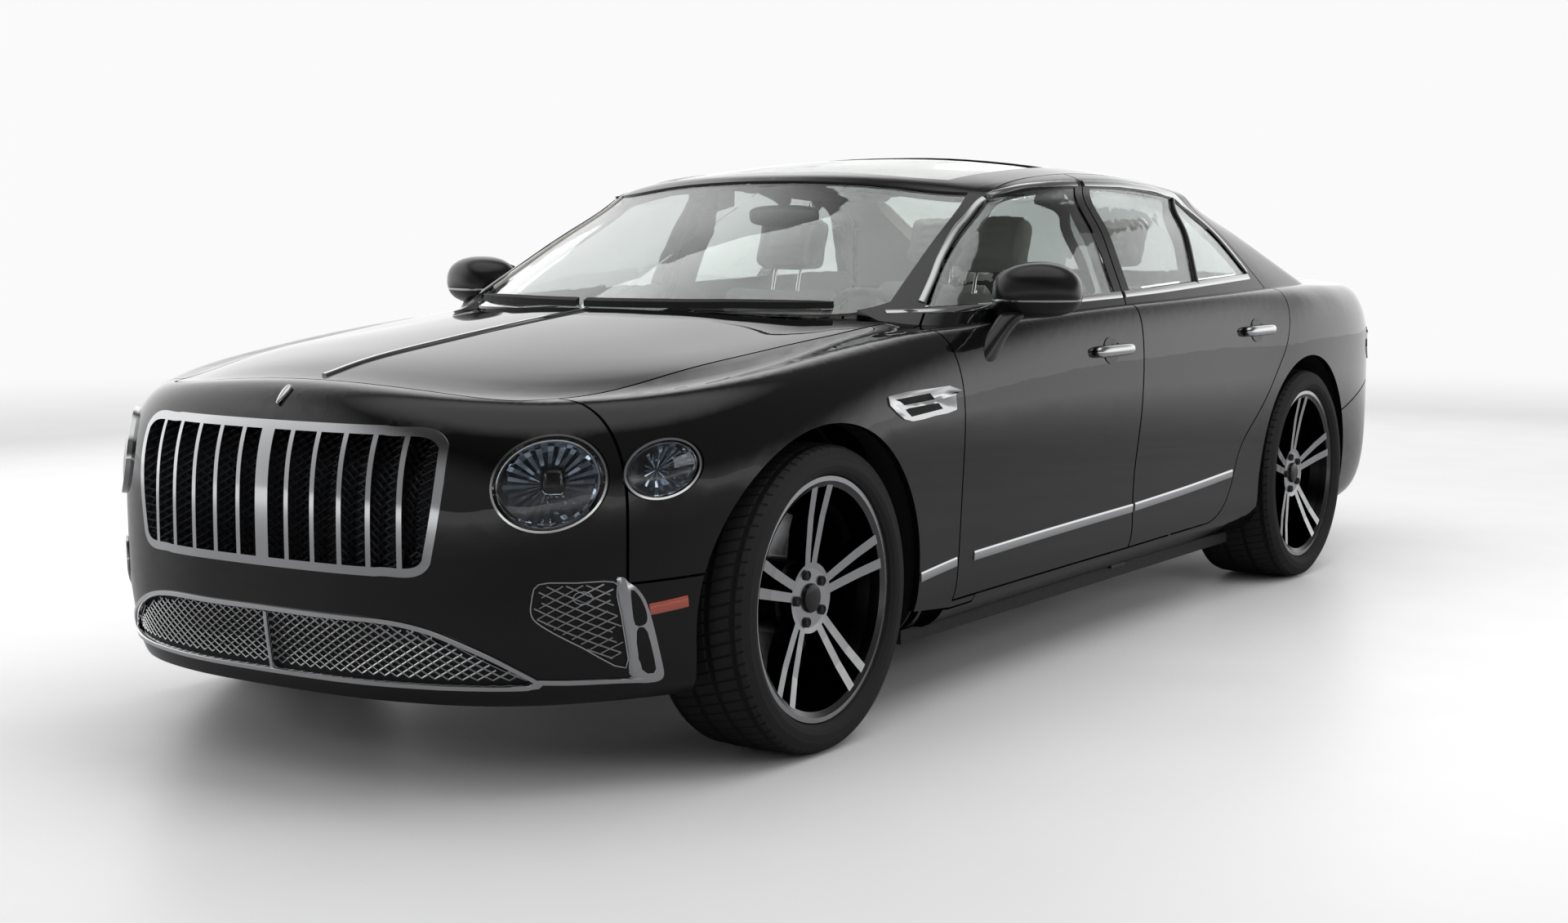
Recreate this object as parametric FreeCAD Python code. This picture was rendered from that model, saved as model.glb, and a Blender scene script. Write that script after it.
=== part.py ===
"""A long-bonnet luxury sedan: every panel, window, lamp, seat and wheel as its own solid.

The car stands on the ground, nose towards -Y, its left side towards +X and +Z up.
The origin is on the ground at the middle of the car's length and width.
The outer body is two smooth skins, a lower body and a glasshouse. Each is spun over a net of
ribs, which fan out from a centre line on top to an outline round the foot. Panels are pieces
of the wall between two such skins, cut where the real panels meet. Lengths are in millimetres.
"""

import FreeCAD
import Part

import math
import os

V = FreeCAD.Vector

# Overall sizes
length = 5316.0
body_width = 1978.0
height = 1484.0
wheelbase = 3194.0
front_overhang = 898.0

half_length = length / 2
half_width = body_width / 2
front_axle_y = front_overhang - half_length
rear_axle_y = front_axle_y + wheelbase
far = body_width
below = -height
above = 2 * height

# Gaps, walls and how deep each sheet of the body lies under the outer skin
panel_gap = 6.0
seat_gap = 0.3
lamp_gap = 0.8
step_in = 14.0
outer_sheet = 12.0
door_gap = 8.0
skin = 22.0
lid_wall = 30.0
frame_wall = 42.0
cowl_depth = 10.0
cowl_wall = 16.0
post_depth = 40.0
glass_depth = 4.0
glass_wall = 5.0
lamp_proud = 2.0
lens_wall = 4.0
lamp_depth = 60.0
tub_wall = 8.0

# Wheels and the room they need
front_tyre_width = 275.0
front_tyre_radius = 375.5
rear_tyre_width = 315.0
rear_tyre_radius = 374.0
rim_radius = 279.4
flange_radius = 297.0
front_track = 1670.0
rear_track = 1664.0
front_hub_height = front_tyre_radius
arch_radius = 425.0
liner_radius = 440.0
liner_wall = 8.0

# Lower body: ribs from the nose round the left side to the tail.
# Each row is the rib's start on the centre line, its outline point across and along,
# and the shoulder's reach inwards, its drop and its squareness.
# Along is a share of half the length, across of half the width, up of the height.
rib_shares = [
    (-0.420, 0.000, -1.0000, 0.175, 0.215, 2.4),
    (-0.419, 0.130, -0.9990, 0.174, 0.215, 2.4),
    (-0.417, 0.262, -0.9955, 0.172, 0.215, 2.4),
    (-0.414, 0.380, -0.9875, 0.168, 0.212, 2.4),
    (-0.410, 0.480, -0.9765, 0.165, 0.208, 2.4),
    (-0.405, 0.570, -0.9610, 0.165, 0.200, 2.4),
    (-0.400, 0.655, -0.9400, 0.165, 0.190, 2.4),
    (-0.394, 0.730, -0.9140, 0.170, 0.182, 2.4),
    (-0.388, 0.800, -0.8830, 0.175, 0.176, 2.4),
    (-0.382, 0.862, -0.8480, 0.182, 0.170, 2.4),
    (-0.375, 0.915, -0.8080, 0.192, 0.166, 2.4),
    (-0.367, 0.956, -0.7600, 0.202, 0.162, 2.4),
    (-0.358, 0.983, -0.7050, 0.212, 0.159, 2.45),
    (-0.348, 0.996, -0.6450, 0.215, 0.158, 2.5),
    (-0.335, 0.998, -0.5850, 0.205, 0.162, 2.6),
    (-0.315, 0.994, -0.5200, 0.180, 0.170, 2.7),
    (-0.285, 0.989, -0.4500, 0.145, 0.180, 2.8),
    (-0.230, 0.985, -0.3600, 0.110, 0.192, 2.9),
    (-0.145, 0.982, -0.2400, 0.083, 0.202, 3.0),
    (-0.050, 0.980, -0.1000, 0.070, 0.206, 3.0),
    (0.040, 0.980, 0.0500, 0.067, 0.210, 3.0),
    (0.130, 0.981, 0.1900, 0.068, 0.210, 3.0),
    (0.210, 0.984, 0.3100, 0.076, 0.205, 2.9),
    (0.280, 0.990, 0.4100, 0.098, 0.192, 2.8),
    (0.345, 0.998, 0.4950, 0.130, 0.175, 2.7),
    (0.400, 1.000, 0.5650, 0.155, 0.165, 2.7),
    (0.450, 0.996, 0.6350, 0.170, 0.160, 2.6),
    (0.490, 0.986, 0.7000, 0.175, 0.160, 2.6),
    (0.520, 0.970, 0.7600, 0.175, 0.163, 2.5),
    (0.542, 0.946, 0.8150, 0.170, 0.168, 2.5),
    (0.558, 0.912, 0.8650, 0.158, 0.176, 2.5),
    (0.570, 0.864, 0.9080, 0.140, 0.190, 2.5),
    (0.580, 0.795, 0.9420, 0.118, 0.208, 2.4),
    (0.588, 0.700, 0.9670, 0.098, 0.228, 2.4),
    (0.594, 0.570, 0.9835, 0.083, 0.246, 2.4),
    (0.598, 0.400, 0.9935, 0.073, 0.260, 2.4),
    (0.600, 0.200, 0.9985, 0.067, 0.268, 2.4),
    (0.601, 0.000, 1.0000, 0.065, 0.270, 2.4),
]
# Places along each rib: on the top as shares of its run, round the shoulder as shares of a turn.
top_step_shares = (0.0, 0.25, 0.5, 0.75, 0.92, 1.0)
turn_shares = (0.14, 0.30, 0.46, 0.62, 0.80, 1.0)
# Height of the body's centre line along the car, and how far it falls to the half width.
spine_shares = [
    (-1.00, 0.5850), (-0.93, 0.6170), (-0.865, 0.6370), (-0.752, 0.6655), (-0.64, 0.6850),
    (-0.53, 0.7040), (-0.42, 0.7200), (-0.10, 0.7290), (0.20, 0.7330), (0.50, 0.7390),
    (0.66, 0.7365), (0.80, 0.7290), (0.90, 0.7235), (1.00, 0.7150),
]
crown_shares = [
    (-1.00, 0.125), (-0.91, 0.112), (-0.80, 0.092), (-0.64, 0.074), (-0.43, 0.066),
    (-0.10, 0.052), (0.30, 0.046), (0.60, 0.048), (0.80, 0.050), (1.00, 0.056),
]
# Below the widest line: heights, and how far the nose, the flank and the tail pull in there.
low_shares = [
    (0.330, 0.000, 0.005, 0.002),
    (0.255, 0.003, 0.012, 0.010),
    (0.200, 0.014, 0.022, 0.030),
    (0.168, 0.022, 0.046, 0.055),
    (0.140, 0.036, 0.110, 0.110),
]
nose_ends_share = -0.70
tail_starts_share = 0.65
blend_share = 0.25

# Glasshouse: start on the roof's centre line, the roof's edge across and along, and the foot.
glass_rib_shares = [
    (-0.124, 0.000, -0.2118, 0.000, -0.6048),
    (-0.123, 0.120, -0.2110, 0.138, -0.6012),
    (-0.122, 0.233, -0.2080, 0.268, -0.5913),
    (-0.120, 0.345, -0.2035, 0.399, -0.5743),
    (-0.117, 0.455, -0.1964, 0.522, -0.5470),
    (-0.111, 0.545, -0.1880, 0.624, -0.5155),
    (-0.105, 0.607, -0.1798, 0.700, -0.4860),
    (-0.097, 0.652, -0.1690, 0.790, -0.4570),
    (-0.086, 0.686, -0.1520, 0.856, -0.4240),
    (-0.072, 0.708, -0.1260, 0.899, -0.3750),
    (-0.045, 0.719, -0.0820, 0.921, -0.2980),
    (-0.010, 0.723, -0.0300, 0.930, -0.1950),
    (0.030, 0.724, 0.0250, 0.932, -0.0900),
    (0.075, 0.723, 0.0828, 0.932, 0.0200),
    (0.125, 0.720, 0.1450, 0.931, 0.1350),
    (0.170, 0.717, 0.2100, 0.929, 0.2480),
    (0.208, 0.713, 0.2700, 0.926, 0.3580),
    (0.240, 0.705, 0.3200, 0.920, 0.4640),
    (0.267, 0.690, 0.3560, 0.911, 0.5720),
    (0.289, 0.664, 0.3790, 0.893, 0.6820),
    (0.308, 0.620, 0.3920, 0.855, 0.7640),
    (0.322, 0.550, 0.3995, 0.770, 0.8010),
    (0.333, 0.450, 0.4050, 0.640, 0.8140),
    (0.340, 0.320, 0.4085, 0.460, 0.8200),
    (0.344, 0.165, 0.4108, 0.237, 0.8222),
    (0.346, 0.000, 0.4116, 0.000, 0.8228),
]
roof_step_shares = (0.0, 0.35, 0.65, 0.88)
drop_shares = (0.0, 0.07, 0.30, 0.55, 0.80, 1.0)
roof_shares = [
    (-0.2118, 0.9490), (-0.124, 0.9757), (-0.060, 0.9885), (0.000, 0.9965), (0.060, 1.0000),
    (0.150, 0.9985), (0.230, 0.9910), (0.290, 0.9832), (0.346, 0.9744), (0.4116, 0.9623),
]
roof_crown_share = 0.098
roof_squareness = 2.3
rim_drop = 12.0
rim_swell = 8.0
glass_bulge = 16.0
belt_height = 960.0

# Cut lines seen from the side: shares of half the length and of the height.
front_door_shares = [
    [(-0.4236, 0.1914), (-0.4206, 0.2695), (-0.4206, 0.3491), (-0.4187, 0.4191), (-0.4153, 0.5061),
     (-0.4169, 0.5660), (-0.4214, 0.6186), (-0.4251, 0.6563), (-0.4289, 0.7008)],
    [(-0.4289, 0.7008), (-0.4289, 0.7547)],
    [(-0.4289, 0.7547), (-0.2107, 0.9838)],
    [(-0.2107, 0.9838), (0.0293, 0.9838)],
    [(0.0293, 0.9838), (0.0293, 0.9434)],
    [(0.0293, 0.9434), (0.0241, 0.8086), (0.0196, 0.7143), (0.0150, 0.6146), (0.0128, 0.5492),
     (0.0053, 0.4481), (-0.0030, 0.3888), (-0.0075, 0.3288), (-0.0045, 0.2655), (-0.0030, 0.1914)],
]
rear_door_shares = [
    [(0.0293, 0.9838), (0.0293, 0.9434)],
    [(0.0293, 0.9434), (0.0241, 0.8086), (0.0196, 0.7143), (0.0150, 0.6146), (0.0128, 0.5492),
     (0.0053, 0.4481), (-0.0030, 0.3888), (-0.0075, 0.3288), (-0.0045, 0.2655), (-0.0030, 0.1914)],
    [(-0.0030, 0.1914), (0.2257, 0.1941)],
    [(0.2257, 0.1941), (0.2634, 0.2156), (0.2897, 0.2695), (0.3055, 0.3369), (0.3499, 0.4043),
     (0.4033, 0.4757), (0.4281, 0.5202), (0.4533, 0.5687), (0.4684, 0.6193), (0.4771, 0.6637),
     (0.4831, 0.6954)],
    [(0.4831, 0.6954), (0.4635, 0.7358), (0.4383, 0.7850), (0.3988, 0.8544), (0.3612, 0.9097),
     (0.3311, 0.9447)],
    [(0.3311, 0.9447), (0.3010, 0.9838)],
]
front_window_shares = [
    [(-0.4138, 0.7035), (-0.3348, 0.7776), (-0.2408, 0.8632), (-0.1580, 0.9063), (-0.0564, 0.9252),
     (0.0113, 0.9299)],
    [(0.0113, 0.9299), (0.0008, 0.7143)],
    [(0.0008, 0.7143), (-0.2069, 0.7089), (-0.4138, 0.7035)],
]
rear_window_shares = [
    [(0.0497, 0.9306), (0.1317, 0.9292), (0.2257, 0.9225), (0.2972, 0.9097)],
    [(0.2972, 0.9097), (0.2415, 0.7264)],
    [(0.2415, 0.7264), (0.1392, 0.7210), (0.0414, 0.7156)],
]
quarter_window_shares = [
    [(0.3070, 0.9070), (0.3311, 0.8929), (0.3574, 0.8679), (0.3913, 0.8208), (0.4214, 0.7682),
     (0.4394, 0.7358)],
    [(0.4394, 0.7358), (0.2513, 0.7271)],
]
wing_shares = [
    [(-0.8766, 0.3248), (-0.8465, 0.3275), (-0.8089, 0.3315)],
    [(-0.8089, 0.3315), (-0.5267, 0.1954)],
    [(-0.5267, 0.1954), (-0.4236, 0.1765)],
    [(-0.4236, 0.1765), (-0.3762, 0.1765)],
    [(-0.3762, 0.1765), (-0.3762, 0.7547)],
    [(-0.3762, 0.7547), (-0.8766, 0.7547)],
]
rear_split_shares = [
    [(0.6396, 0.3774), (0.7336, 0.4043), (0.8277, 0.4367), (1.0158, 0.4447)],
    [(1.0158, 0.4447), (1.0384, 0.4447)],
    [(1.0384, 0.4447), (1.0384, 0.0674)],
    [(1.0384, 0.0674), (0.6396, 0.0674)],
]

# Cut lines seen from above: shares of half the width and of half the length.
bonnet_shares = [
    [(0.0000, -0.9357), (0.2022, -0.9330), (0.4044, -0.9248), (0.5258, -0.9142), (0.5662, -0.9048)],
    [(0.5662, -0.9048), (0.6471, -0.8465), (0.6977, -0.7524), (0.7300, -0.6396), (0.7533, -0.5267),
     (0.7685, -0.4300)],
    [(0.7685, -0.4300), (0.6471, -0.4748), (0.4550, -0.5124), (0.2326, -0.5324), (0.0000, -0.5388)],
]
cowl_shares = [
    [(0.7685, -0.4300), (0.6471, -0.4748), (0.4550, -0.5124), (0.2326, -0.5324), (0.0000, -0.5388)],
    [(0.0000, -0.5388), (0.0000, -0.5004)],
    [(0.0000, -0.5004), (0.2326, -0.4929), (0.4550, -0.4703), (0.6471, -0.4251), (0.7280, -0.3762)],
    [(0.7280, -0.3762), (0.8392, -0.3762)],
    [(0.8392, -0.3762), (0.8392, -0.4300)],
]
screen_shares = [
    [(0.0000, -0.5357), (0.2022, -0.5290), (0.4044, -0.5053), (0.5662, -0.4710), (0.6673, -0.4345),
     (0.7260, -0.3988)],
    [(0.7260, -0.3988), (0.6411, -0.1780)],
    [(0.6411, -0.1780), (0.5662, -0.1922), (0.4044, -0.2035), (0.2022, -0.2103), (0.0000, -0.2122)],
]
rear_screen_shares = [
    [(0.0000, 0.4086), (0.2528, 0.4067), (0.4348, 0.4014), (0.5460, 0.3935), (0.5824, 0.3860)],
    [(0.5824, 0.3860), (0.6411, 0.5267), (0.6714, 0.6396), (0.6775, 0.6772)],
    [(0.6775, 0.6772), (0.6471, 0.6968), (0.5056, 0.7133), (0.2528, 0.7193), (0.0000, 0.7208)],
]
roof_panel_shares = [
    [(0.0000, -0.2122), (0.2022, -0.2103), (0.4044, -0.2035), (0.5662, -0.1922), (0.6411, -0.1780)],
    [(0.6411, -0.1780), (0.6623, -0.1129), (0.6694, 0.0376), (0.6623, 0.1881), (0.6370, 0.3010),
     (0.5824, 0.3860)],
    [(0.5824, 0.3860), (0.5460, 0.3935), (0.4348, 0.4014), (0.2528, 0.4067), (0.0000, 0.4086)],
]
front_roof_glass_shares = [
    [(0.0000, -0.1768), (0.3033, -0.1738), (0.5056, -0.1655), (0.5460, -0.1580)],
    [(0.5460, -0.1580), (0.5662, -0.0752), (0.5683, 0.0564)],
    [(0.5683, 0.0564), (0.0000, 0.0564)],
]
rear_roof_glass_shares = [
    [(0.0000, 0.0715), (0.5662, 0.0715)],
    [(0.5662, 0.0715), (0.5612, 0.1881), (0.5410, 0.2784)],
    [(0.5410, 0.2784), (0.0000, 0.2859)],
]
boot_lid_shares = [
    [(0.0000, 0.7381), (0.3033, 0.7378), (0.5258, 0.7359), (0.6471, 0.7306)],
    [(0.6471, 0.7306), (0.6613, 0.8089), (0.6593, 0.8841), (0.6471, 0.9330), (0.6471, 1.0384)],
    [(0.6471, 1.0384), (0.0000, 1.0384)],
]
door_zone_shares = [
    [(0.8615, -0.5267), (0.8514, -0.4327), (0.8089, -0.3762), (0.7634, -0.3198), (0.7078, -0.2107),
     (0.6795, -0.1129), (0.6754, 0.0376), (0.6724, 0.1881), (0.6754, 0.3198), (0.6977, 0.3988),
     (0.7432, 0.4552), (0.7786, 0.5267)],
    [(0.7786, 0.5267), (1.3145, 0.5267)],
    [(1.3145, 0.5267), (1.3145, -0.5267)],
]
wiper_shares = [
    [(-0.0607, -0.5267), (0.2022, -0.5199), (0.4044, -0.4959), (0.5258, -0.4707),
     (0.6067, -0.4477)],
    [(0.6067, -0.4477), (0.6188, -0.4424)],
    [(0.6188, -0.4424), (0.5359, -0.4635), (0.4125, -0.4887), (0.2083, -0.5128),
     (-0.0607, -0.5199)],
]
small_wiper_shares = [
    [(-0.6269, -0.4409), (-0.5258, -0.4707), (-0.4044, -0.4959), (-0.2022, -0.5199),
     (-0.0910, -0.5260)],
    [(-0.0910, -0.5260), (-0.0910, -0.5192)],
    [(-0.0910, -0.5192), (-0.2083, -0.5128), (-0.4125, -0.4887), (-0.5359, -0.4635),
     (-0.6390, -0.4357)],
]

# Cut lines seen from the front: shares of half the width and of the height.
grille_shares = [
    [(0.0000, 0.5580), (0.3337, 0.5580)],
    [(0.3337, 0.5580), (0.4044, 0.5573), (0.4601, 0.5512), (0.4914, 0.5323)],
    [(0.4914, 0.5323), (0.4934, 0.4717), (0.4772, 0.3908), (0.4671, 0.3571)],
    [(0.4671, 0.3571), (0.4449, 0.3410), (0.4044, 0.3349), (0.3337, 0.3342)],
    [(0.3337, 0.3342), (0.0000, 0.3342)],
]
intake_shares = [
    [(0.0000, 0.2642), (0.3337, 0.2628)],
    [(0.3337, 0.2628), (0.4348, 0.2534), (0.5076, 0.2358), (0.5854, 0.2082), (0.6522, 0.1819)],
    [(0.6522, 0.1819), (0.6390, 0.1759), (0.6067, 0.1739)],
    [(0.6067, 0.1739), (0.0000, 0.1725)],
]
tail_lamp_shares = [
    [(0.6623, 0.5566), (0.8696, 0.5795), (1.1122, 0.5930)],
    [(1.1122, 0.5930), (1.1122, 0.5323)],
    [(1.1122, 0.5323), (0.9100, 0.4987), (0.6623, 0.4825)],
]
lid_lamp_shares = [
    [(0.4348, 0.5391), (0.6390, 0.5539)],
    [(0.6390, 0.5539), (0.6390, 0.4825)],
    [(0.6390, 0.4825), (0.4752, 0.4825), (0.4348, 0.5094)],
    [(0.4348, 0.5094), (0.4348, 0.5391)],
]

def smooth_through(pairs, at):
    """The height at a place on a curve that runs evenly through the pairs."""
    last = len(pairs) - 2
    i = 0
    while i < last and at > pairs[i + 1][0]:
        i += 1
    (x1, y1), (x2, y2) = pairs[i], pairs[i + 1]
    before = pairs[i - 1] if i else (2 * x1 - x2, 2 * y1 - y2)
    after = pairs[i + 2] if i < last else (2 * x2 - x1, 2 * y2 - y1)
    m1 = (y2 - before[1]) / (x2 - before[0])
    m2 = (after[1] - y1) / (after[0] - x1)
    span = x2 - x1
    t = (at - x1) / span
    rise = y1 + (y2 - y1) * t * t * (3 - 2 * t)
    return rise + span * t * (1 - t) * (m1 * (1 - t) - m2 * t)


def body_top(x, y):
    """Height of the lower body's top over any place in plan."""
    along = y / half_length
    fall = smooth_through(crown_shares, along)
    return height * (smooth_through(spine_shares, along) - fall * (x / half_width) ** 2)


def roof_top(x, y):
    """Height of the roof over any place in plan."""
    fall = roof_crown_share * abs(x / half_width) ** roof_squareness
    return height * (smooth_through(roof_shares, y / half_length) - fall)


def body_rib(shares, inset):
    """Points of one rib, from the centre line over the shoulder and down to the sill."""
    start, across, along, reach, drop, square = shares
    spine = V(0, start * half_length, 0)
    outline = V(across * half_width, along * half_length, 0)
    out = outline - spine
    reach, drop = reach * half_width, drop * height
    run = out.Length - reach
    out.normalize()
    points = []
    for share in top_step_shares:
        place = spine + out * (run * share)
        points.append(V(place.x, place.y, body_top(place.x, place.y)))
    edge = points[-1].z
    for share in turn_shares:
        turn = share * math.pi / 2
        place = spine + out * (run + reach * math.sin(turn) ** (2 / square))
        points.append(V(place.x, place.y, edge - drop * (1 - math.cos(turn) ** (2 / square))))
    nose = min(1, max(0, (nose_ends_share - along) / blend_share))
    tail = min(1, max(0, (along - tail_starts_share) / blend_share))
    for up, at_nose, at_flank, at_tail in low_shares:
        pull = at_nose * nose + at_flank * (1 - nose - tail) + at_tail * tail
        place = spine + out * (run + reach - pull * half_width)
        points.append(V(place.x, place.y, up * height))
    foot = points[-1].z
    widest = points[len(top_step_shares) + len(turn_shares) - 1].z
    moved = []
    for p in points:
        down = inset * min(1, (p.z - foot) / (widest - foot))
        moved.append(p - out * inset - V(0, 0, down))
    moved[0] = V(0, points[0].y, points[0].z - inset)
    return moved


def glass_rib(shares, inset):
    """Points of one glasshouse rib, from the roof's centre line over its edge to the foot."""
    start, across, along, foot_across, foot_along = shares
    spine = V(0, start * half_length, 0)
    rim = V(across * half_width, along * half_length, 0)
    out = rim - spine
    points = []
    for share in roof_step_shares:
        place = spine + out * share
        points.append(V(place.x, place.y, roof_top(place.x, place.y)))
    edge = V(rim.x, rim.y, roof_top(rim.x, rim.y) - rim_drop)
    foot = V(foot_across * half_width, foot_along * half_length, belt_height)
    down = foot - edge
    side = V(down.x, down.y, 0)
    side.normalize()
    for share in drop_shares:
        swell = glass_bulge * 4 * share * (1 - share) + (0 if share else rim_swell)
        points.append(edge + down * share + side * swell)
    out.normalize()
    moved = []
    for i, p in enumerate(points):
        way = out if i < len(roof_step_shares) else side
        moved.append(p - way * inset - V(0, 0, inset))
    moved[0] = V(0, points[0].y, points[0].z - inset)
    return moved


def spread(lines):
    """Parameters for the points of a family of like lines, from their mean distances."""
    places = [0]
    for i in range(1, len(lines[0])):
        steps = [(line[i] - line[i - 1]).Length for line in lines]
        places.append(places[-1] + sum(steps) / len(steps))
    return [p / places[-1] for p in places]


def line_through(points, places, first=None, last=None):
    """A smooth curve through points at set parameters, with its end directions if given."""
    curve = Part.BSplineCurve()
    if first is None:
        curve.interpolate(Points=points, Parameters=places)
    else:
        curve.interpolate(
            Points=points, Parameters=places, InitialTangent=first, FinalTangent=last, Scale=False,
        )
    return curve


def end_way(step, span):
    """How a long line starts or ends: square to the middle plane, or along it on the spine."""
    if abs(step.x) > seat_gap:
        step = V(step.x, 0, 0)
    return step / span


def skin_face(ribs):
    """A smooth face through a net of ribs that meets the middle plane squarely."""
    down = spread(ribs)
    along = spread(list(zip(*ribs))[len(ribs[0]) // 2:])
    rib_lines = [line_through(rib, down) for rib in ribs]
    long_lines = []
    for column in zip(*[line.getPoles() for line in rib_lines]):
        first = end_way(column[1] - column[0], along[1] - along[0])
        last = end_way(column[-1] - column[-2], along[-1] - along[-2])
        long_lines.append(line_through(list(column), along, first, last))
    surface = Part.BSplineSurface()
    surface.buildFromPolesMultsKnots(
        [line.getPoles() for line in long_lines],
        rib_lines[0].getMultiplicities(),
        long_lines[0].getMultiplicities(),
        rib_lines[0].getKnots(),
        long_lines[0].getKnots(),
        False,
        False,
        3,
        3,
    )
    return surface.toShape()


def half_solid(face):
    """The left half of a body under a skin, closed by the middle plane and a flat foot."""
    middle, foot = [], []
    for edge in face.Edges:
        (middle if edge.BoundBox.XMax < seat_gap else foot).append(edge)
    ends = [v.Point for v in foot[0].Vertexes]
    line = Part.makeLine(ends[0], ends[1])
    faces = [face]
    for edges in (middle, foot):
        faces.append(Part.Face(Part.Wire(Part.__sortEdges__(edges + [line]))))
    shell = Part.makeShell(faces)
    shell.sewShape()
    solid = Part.makeSolid(shell)
    solid.fix(0.001, 0.001, 0.001)
    return solid


made = {}


def kept(name, make):
    """A shape that many pieces need, made once."""
    if name not in made:
        made[name] = make()
    return made[name]


def lower(inset):
    """The lower body's left half, its skin moved in by a depth."""
    def made_now():
        return half_solid(skin_face([body_rib(shares, inset) for shares in rib_shares]))
    return kept(("lower", inset), made_now)


def house(inset):
    """The glasshouse's left half, its skin moved in by a depth."""
    def made_now():
        return half_solid(skin_face([glass_rib(shares, inset) for shares in glass_rib_shares]))
    return kept(("house", inset), made_now)


def both_skins(inset):
    """Lower body and glasshouse as one left half."""
    return kept(("both", inset), lambda: lower(inset).fuse(house(inset)))


def sheet(outer, inner, keep, cutters=(), skins=None):
    """A piece of a body's sheet between two depths, inside one cutter and outside others."""
    skins = skins or lower
    piece = skins(outer).common(keep).cut(skins(inner))
    for cutter in cutters:
        piece = piece.cut(cutter)
    return piece


def largest(shape):
    """The largest solid of a shape."""
    return max(shape.Solids, key=lambda solid: solid.Volume)


def block(x0, x1, y0, y1, z0, z1):
    """A box between two corners, given in any order."""
    low = V(min(x0, x1), min(y0, y1), min(z0, z1))
    return Part.makeBox(abs(x1 - x0), abs(y1 - y0), abs(z1 - z0), low)


def closed_face(runs, place):
    """A flat face round runs of points. A run of three or more is drawn as one smooth curve."""
    edges = []
    first = last = None
    for run in runs:
        points = [place(*p) for p in run]
        if last is not None and (points[0] - last).Length > 0:
            edges.append(Part.makeLine(last, points[0]))
        if len(points) > 2:
            curve = Part.BSplineCurve()
            curve.interpolate(Points=points)
            edges.append(curve.toShape())
        else:
            edges.append(Part.makeLine(points[0], points[1]))
        first = first or points[0]
        last = points[-1]
    if (last - first).Length > 0:
        edges.append(Part.makeLine(last, first))
    return Part.Face(Part.Wire(edges))


def drawn_out(face, way, by):
    """A flat face, its outline moved out by a distance, drawn out into a solid."""
    if by:
        face = Part.Face(face.makeOffset2D(by).OuterWire.toNurbs())
    return face.extrude(way)


def side_cut(shares, by=0):
    """All that lies on the left inside an outline seen from the side."""
    def made_now():
        face = closed_face(shares, lambda y, z: V(0, y * half_length, z * height))
        return drawn_out(face, V(far, 0, 0), by)
    return kept(("side", id(shares), by), made_now)


def plan_cut(shares, by=0):
    """All that lies inside an outline seen from above."""
    def made_now():
        face = closed_face(shares, lambda x, y: V(x * half_width, y * half_length, below))
        return drawn_out(face, V(0, 0, above - below), by)
    return kept(("plan", id(shares), by), made_now)


def front_cut(shares, by=0, end=-1):
    """All of one end of the car that lies inside an outline seen from the front."""
    def made_now():
        face = closed_face(shares, lambda x, z: V(x * half_width, end * length, z * height))
        return drawn_out(face, V(0, -end * length, 0), by)
    return kept(("front", id(shares), by, end), made_now)


def mirrored(shape):
    """The right-hand twin of a piece on the left."""
    return shape.mirror(V(0, 0, 0), V(1, 0, 0))


def both(shape):
    """A left-hand piece and its twin, which don't touch."""
    return Part.makeCompound([shape, mirrored(shape)])


def joined(shape):
    """A piece that reaches the middle plane, joined with its mirror image."""
    return shape.fuse(mirrored(shape))


def moved(shape, x, y, z):
    """A copy of a shape at another place."""
    copy = shape.copy()
    copy.translate(V(x, y, z))
    return copy


def spun(outline):
    """A ring spun round the X axis from places across and radii."""
    points = [V(x, 0, r) for x, r in outline]
    face = Part.Face(Part.makePolygon(points + points[:1]))
    return face.revolve(V(0, 0, 0), V(1, 0, 0), 360)


def export(name, shape):
    """Write one sub-part as its own file."""
    solids = shape.Solids
    out = solids[0] if len(solids) == 1 else Part.makeCompound(solids)
    out.exportStep("parts/" + name + ".step")


# Doors
handle_height = 24.0
handle_length = 230.0
handle_stand = 14.0
handle_sink = 8.0
front_handle_y = -185.0
rear_handle_y = 962.0
front_handle_z = 896.0
rear_handle_z = 908.0
door_skin_x = 972.0


def door_blank(shares, others=None):
    """A door's panel and window frame: an outer sheet with a box set in behind its edges."""
    zone = kept("door zone", lambda: plan_cut(door_zone_shares))
    face = side_cut(shares)
    inner = side_cut(shares, -step_in)
    if others:
        face = face.cut(side_cut(others, door_gap))
        inner = inner.cut(side_cut(others, door_gap + step_in))
    middle = both_skins(outer_sheet)
    outside = both_skins(0).common(face).common(zone).cut(middle)
    inside = middle.common(inner).common(zone).cut(kept("cabin", cabin_core))
    return outside.fuse(inside)


def door_handle(y, z):
    """A bar that lies along the door's skin."""
    x = door_skin_x - handle_sink
    return block(
        x, x + handle_stand + handle_sink,
        y - handle_length / 2, y + handle_length / 2,
        z - handle_height / 2, z + handle_height / 2,
    )


def pane(cutter):
    """A sheet of glass in the glasshouse's side or end."""
    return sheet(glass_depth, glass_depth + glass_wall, cutter, (), house)


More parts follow.
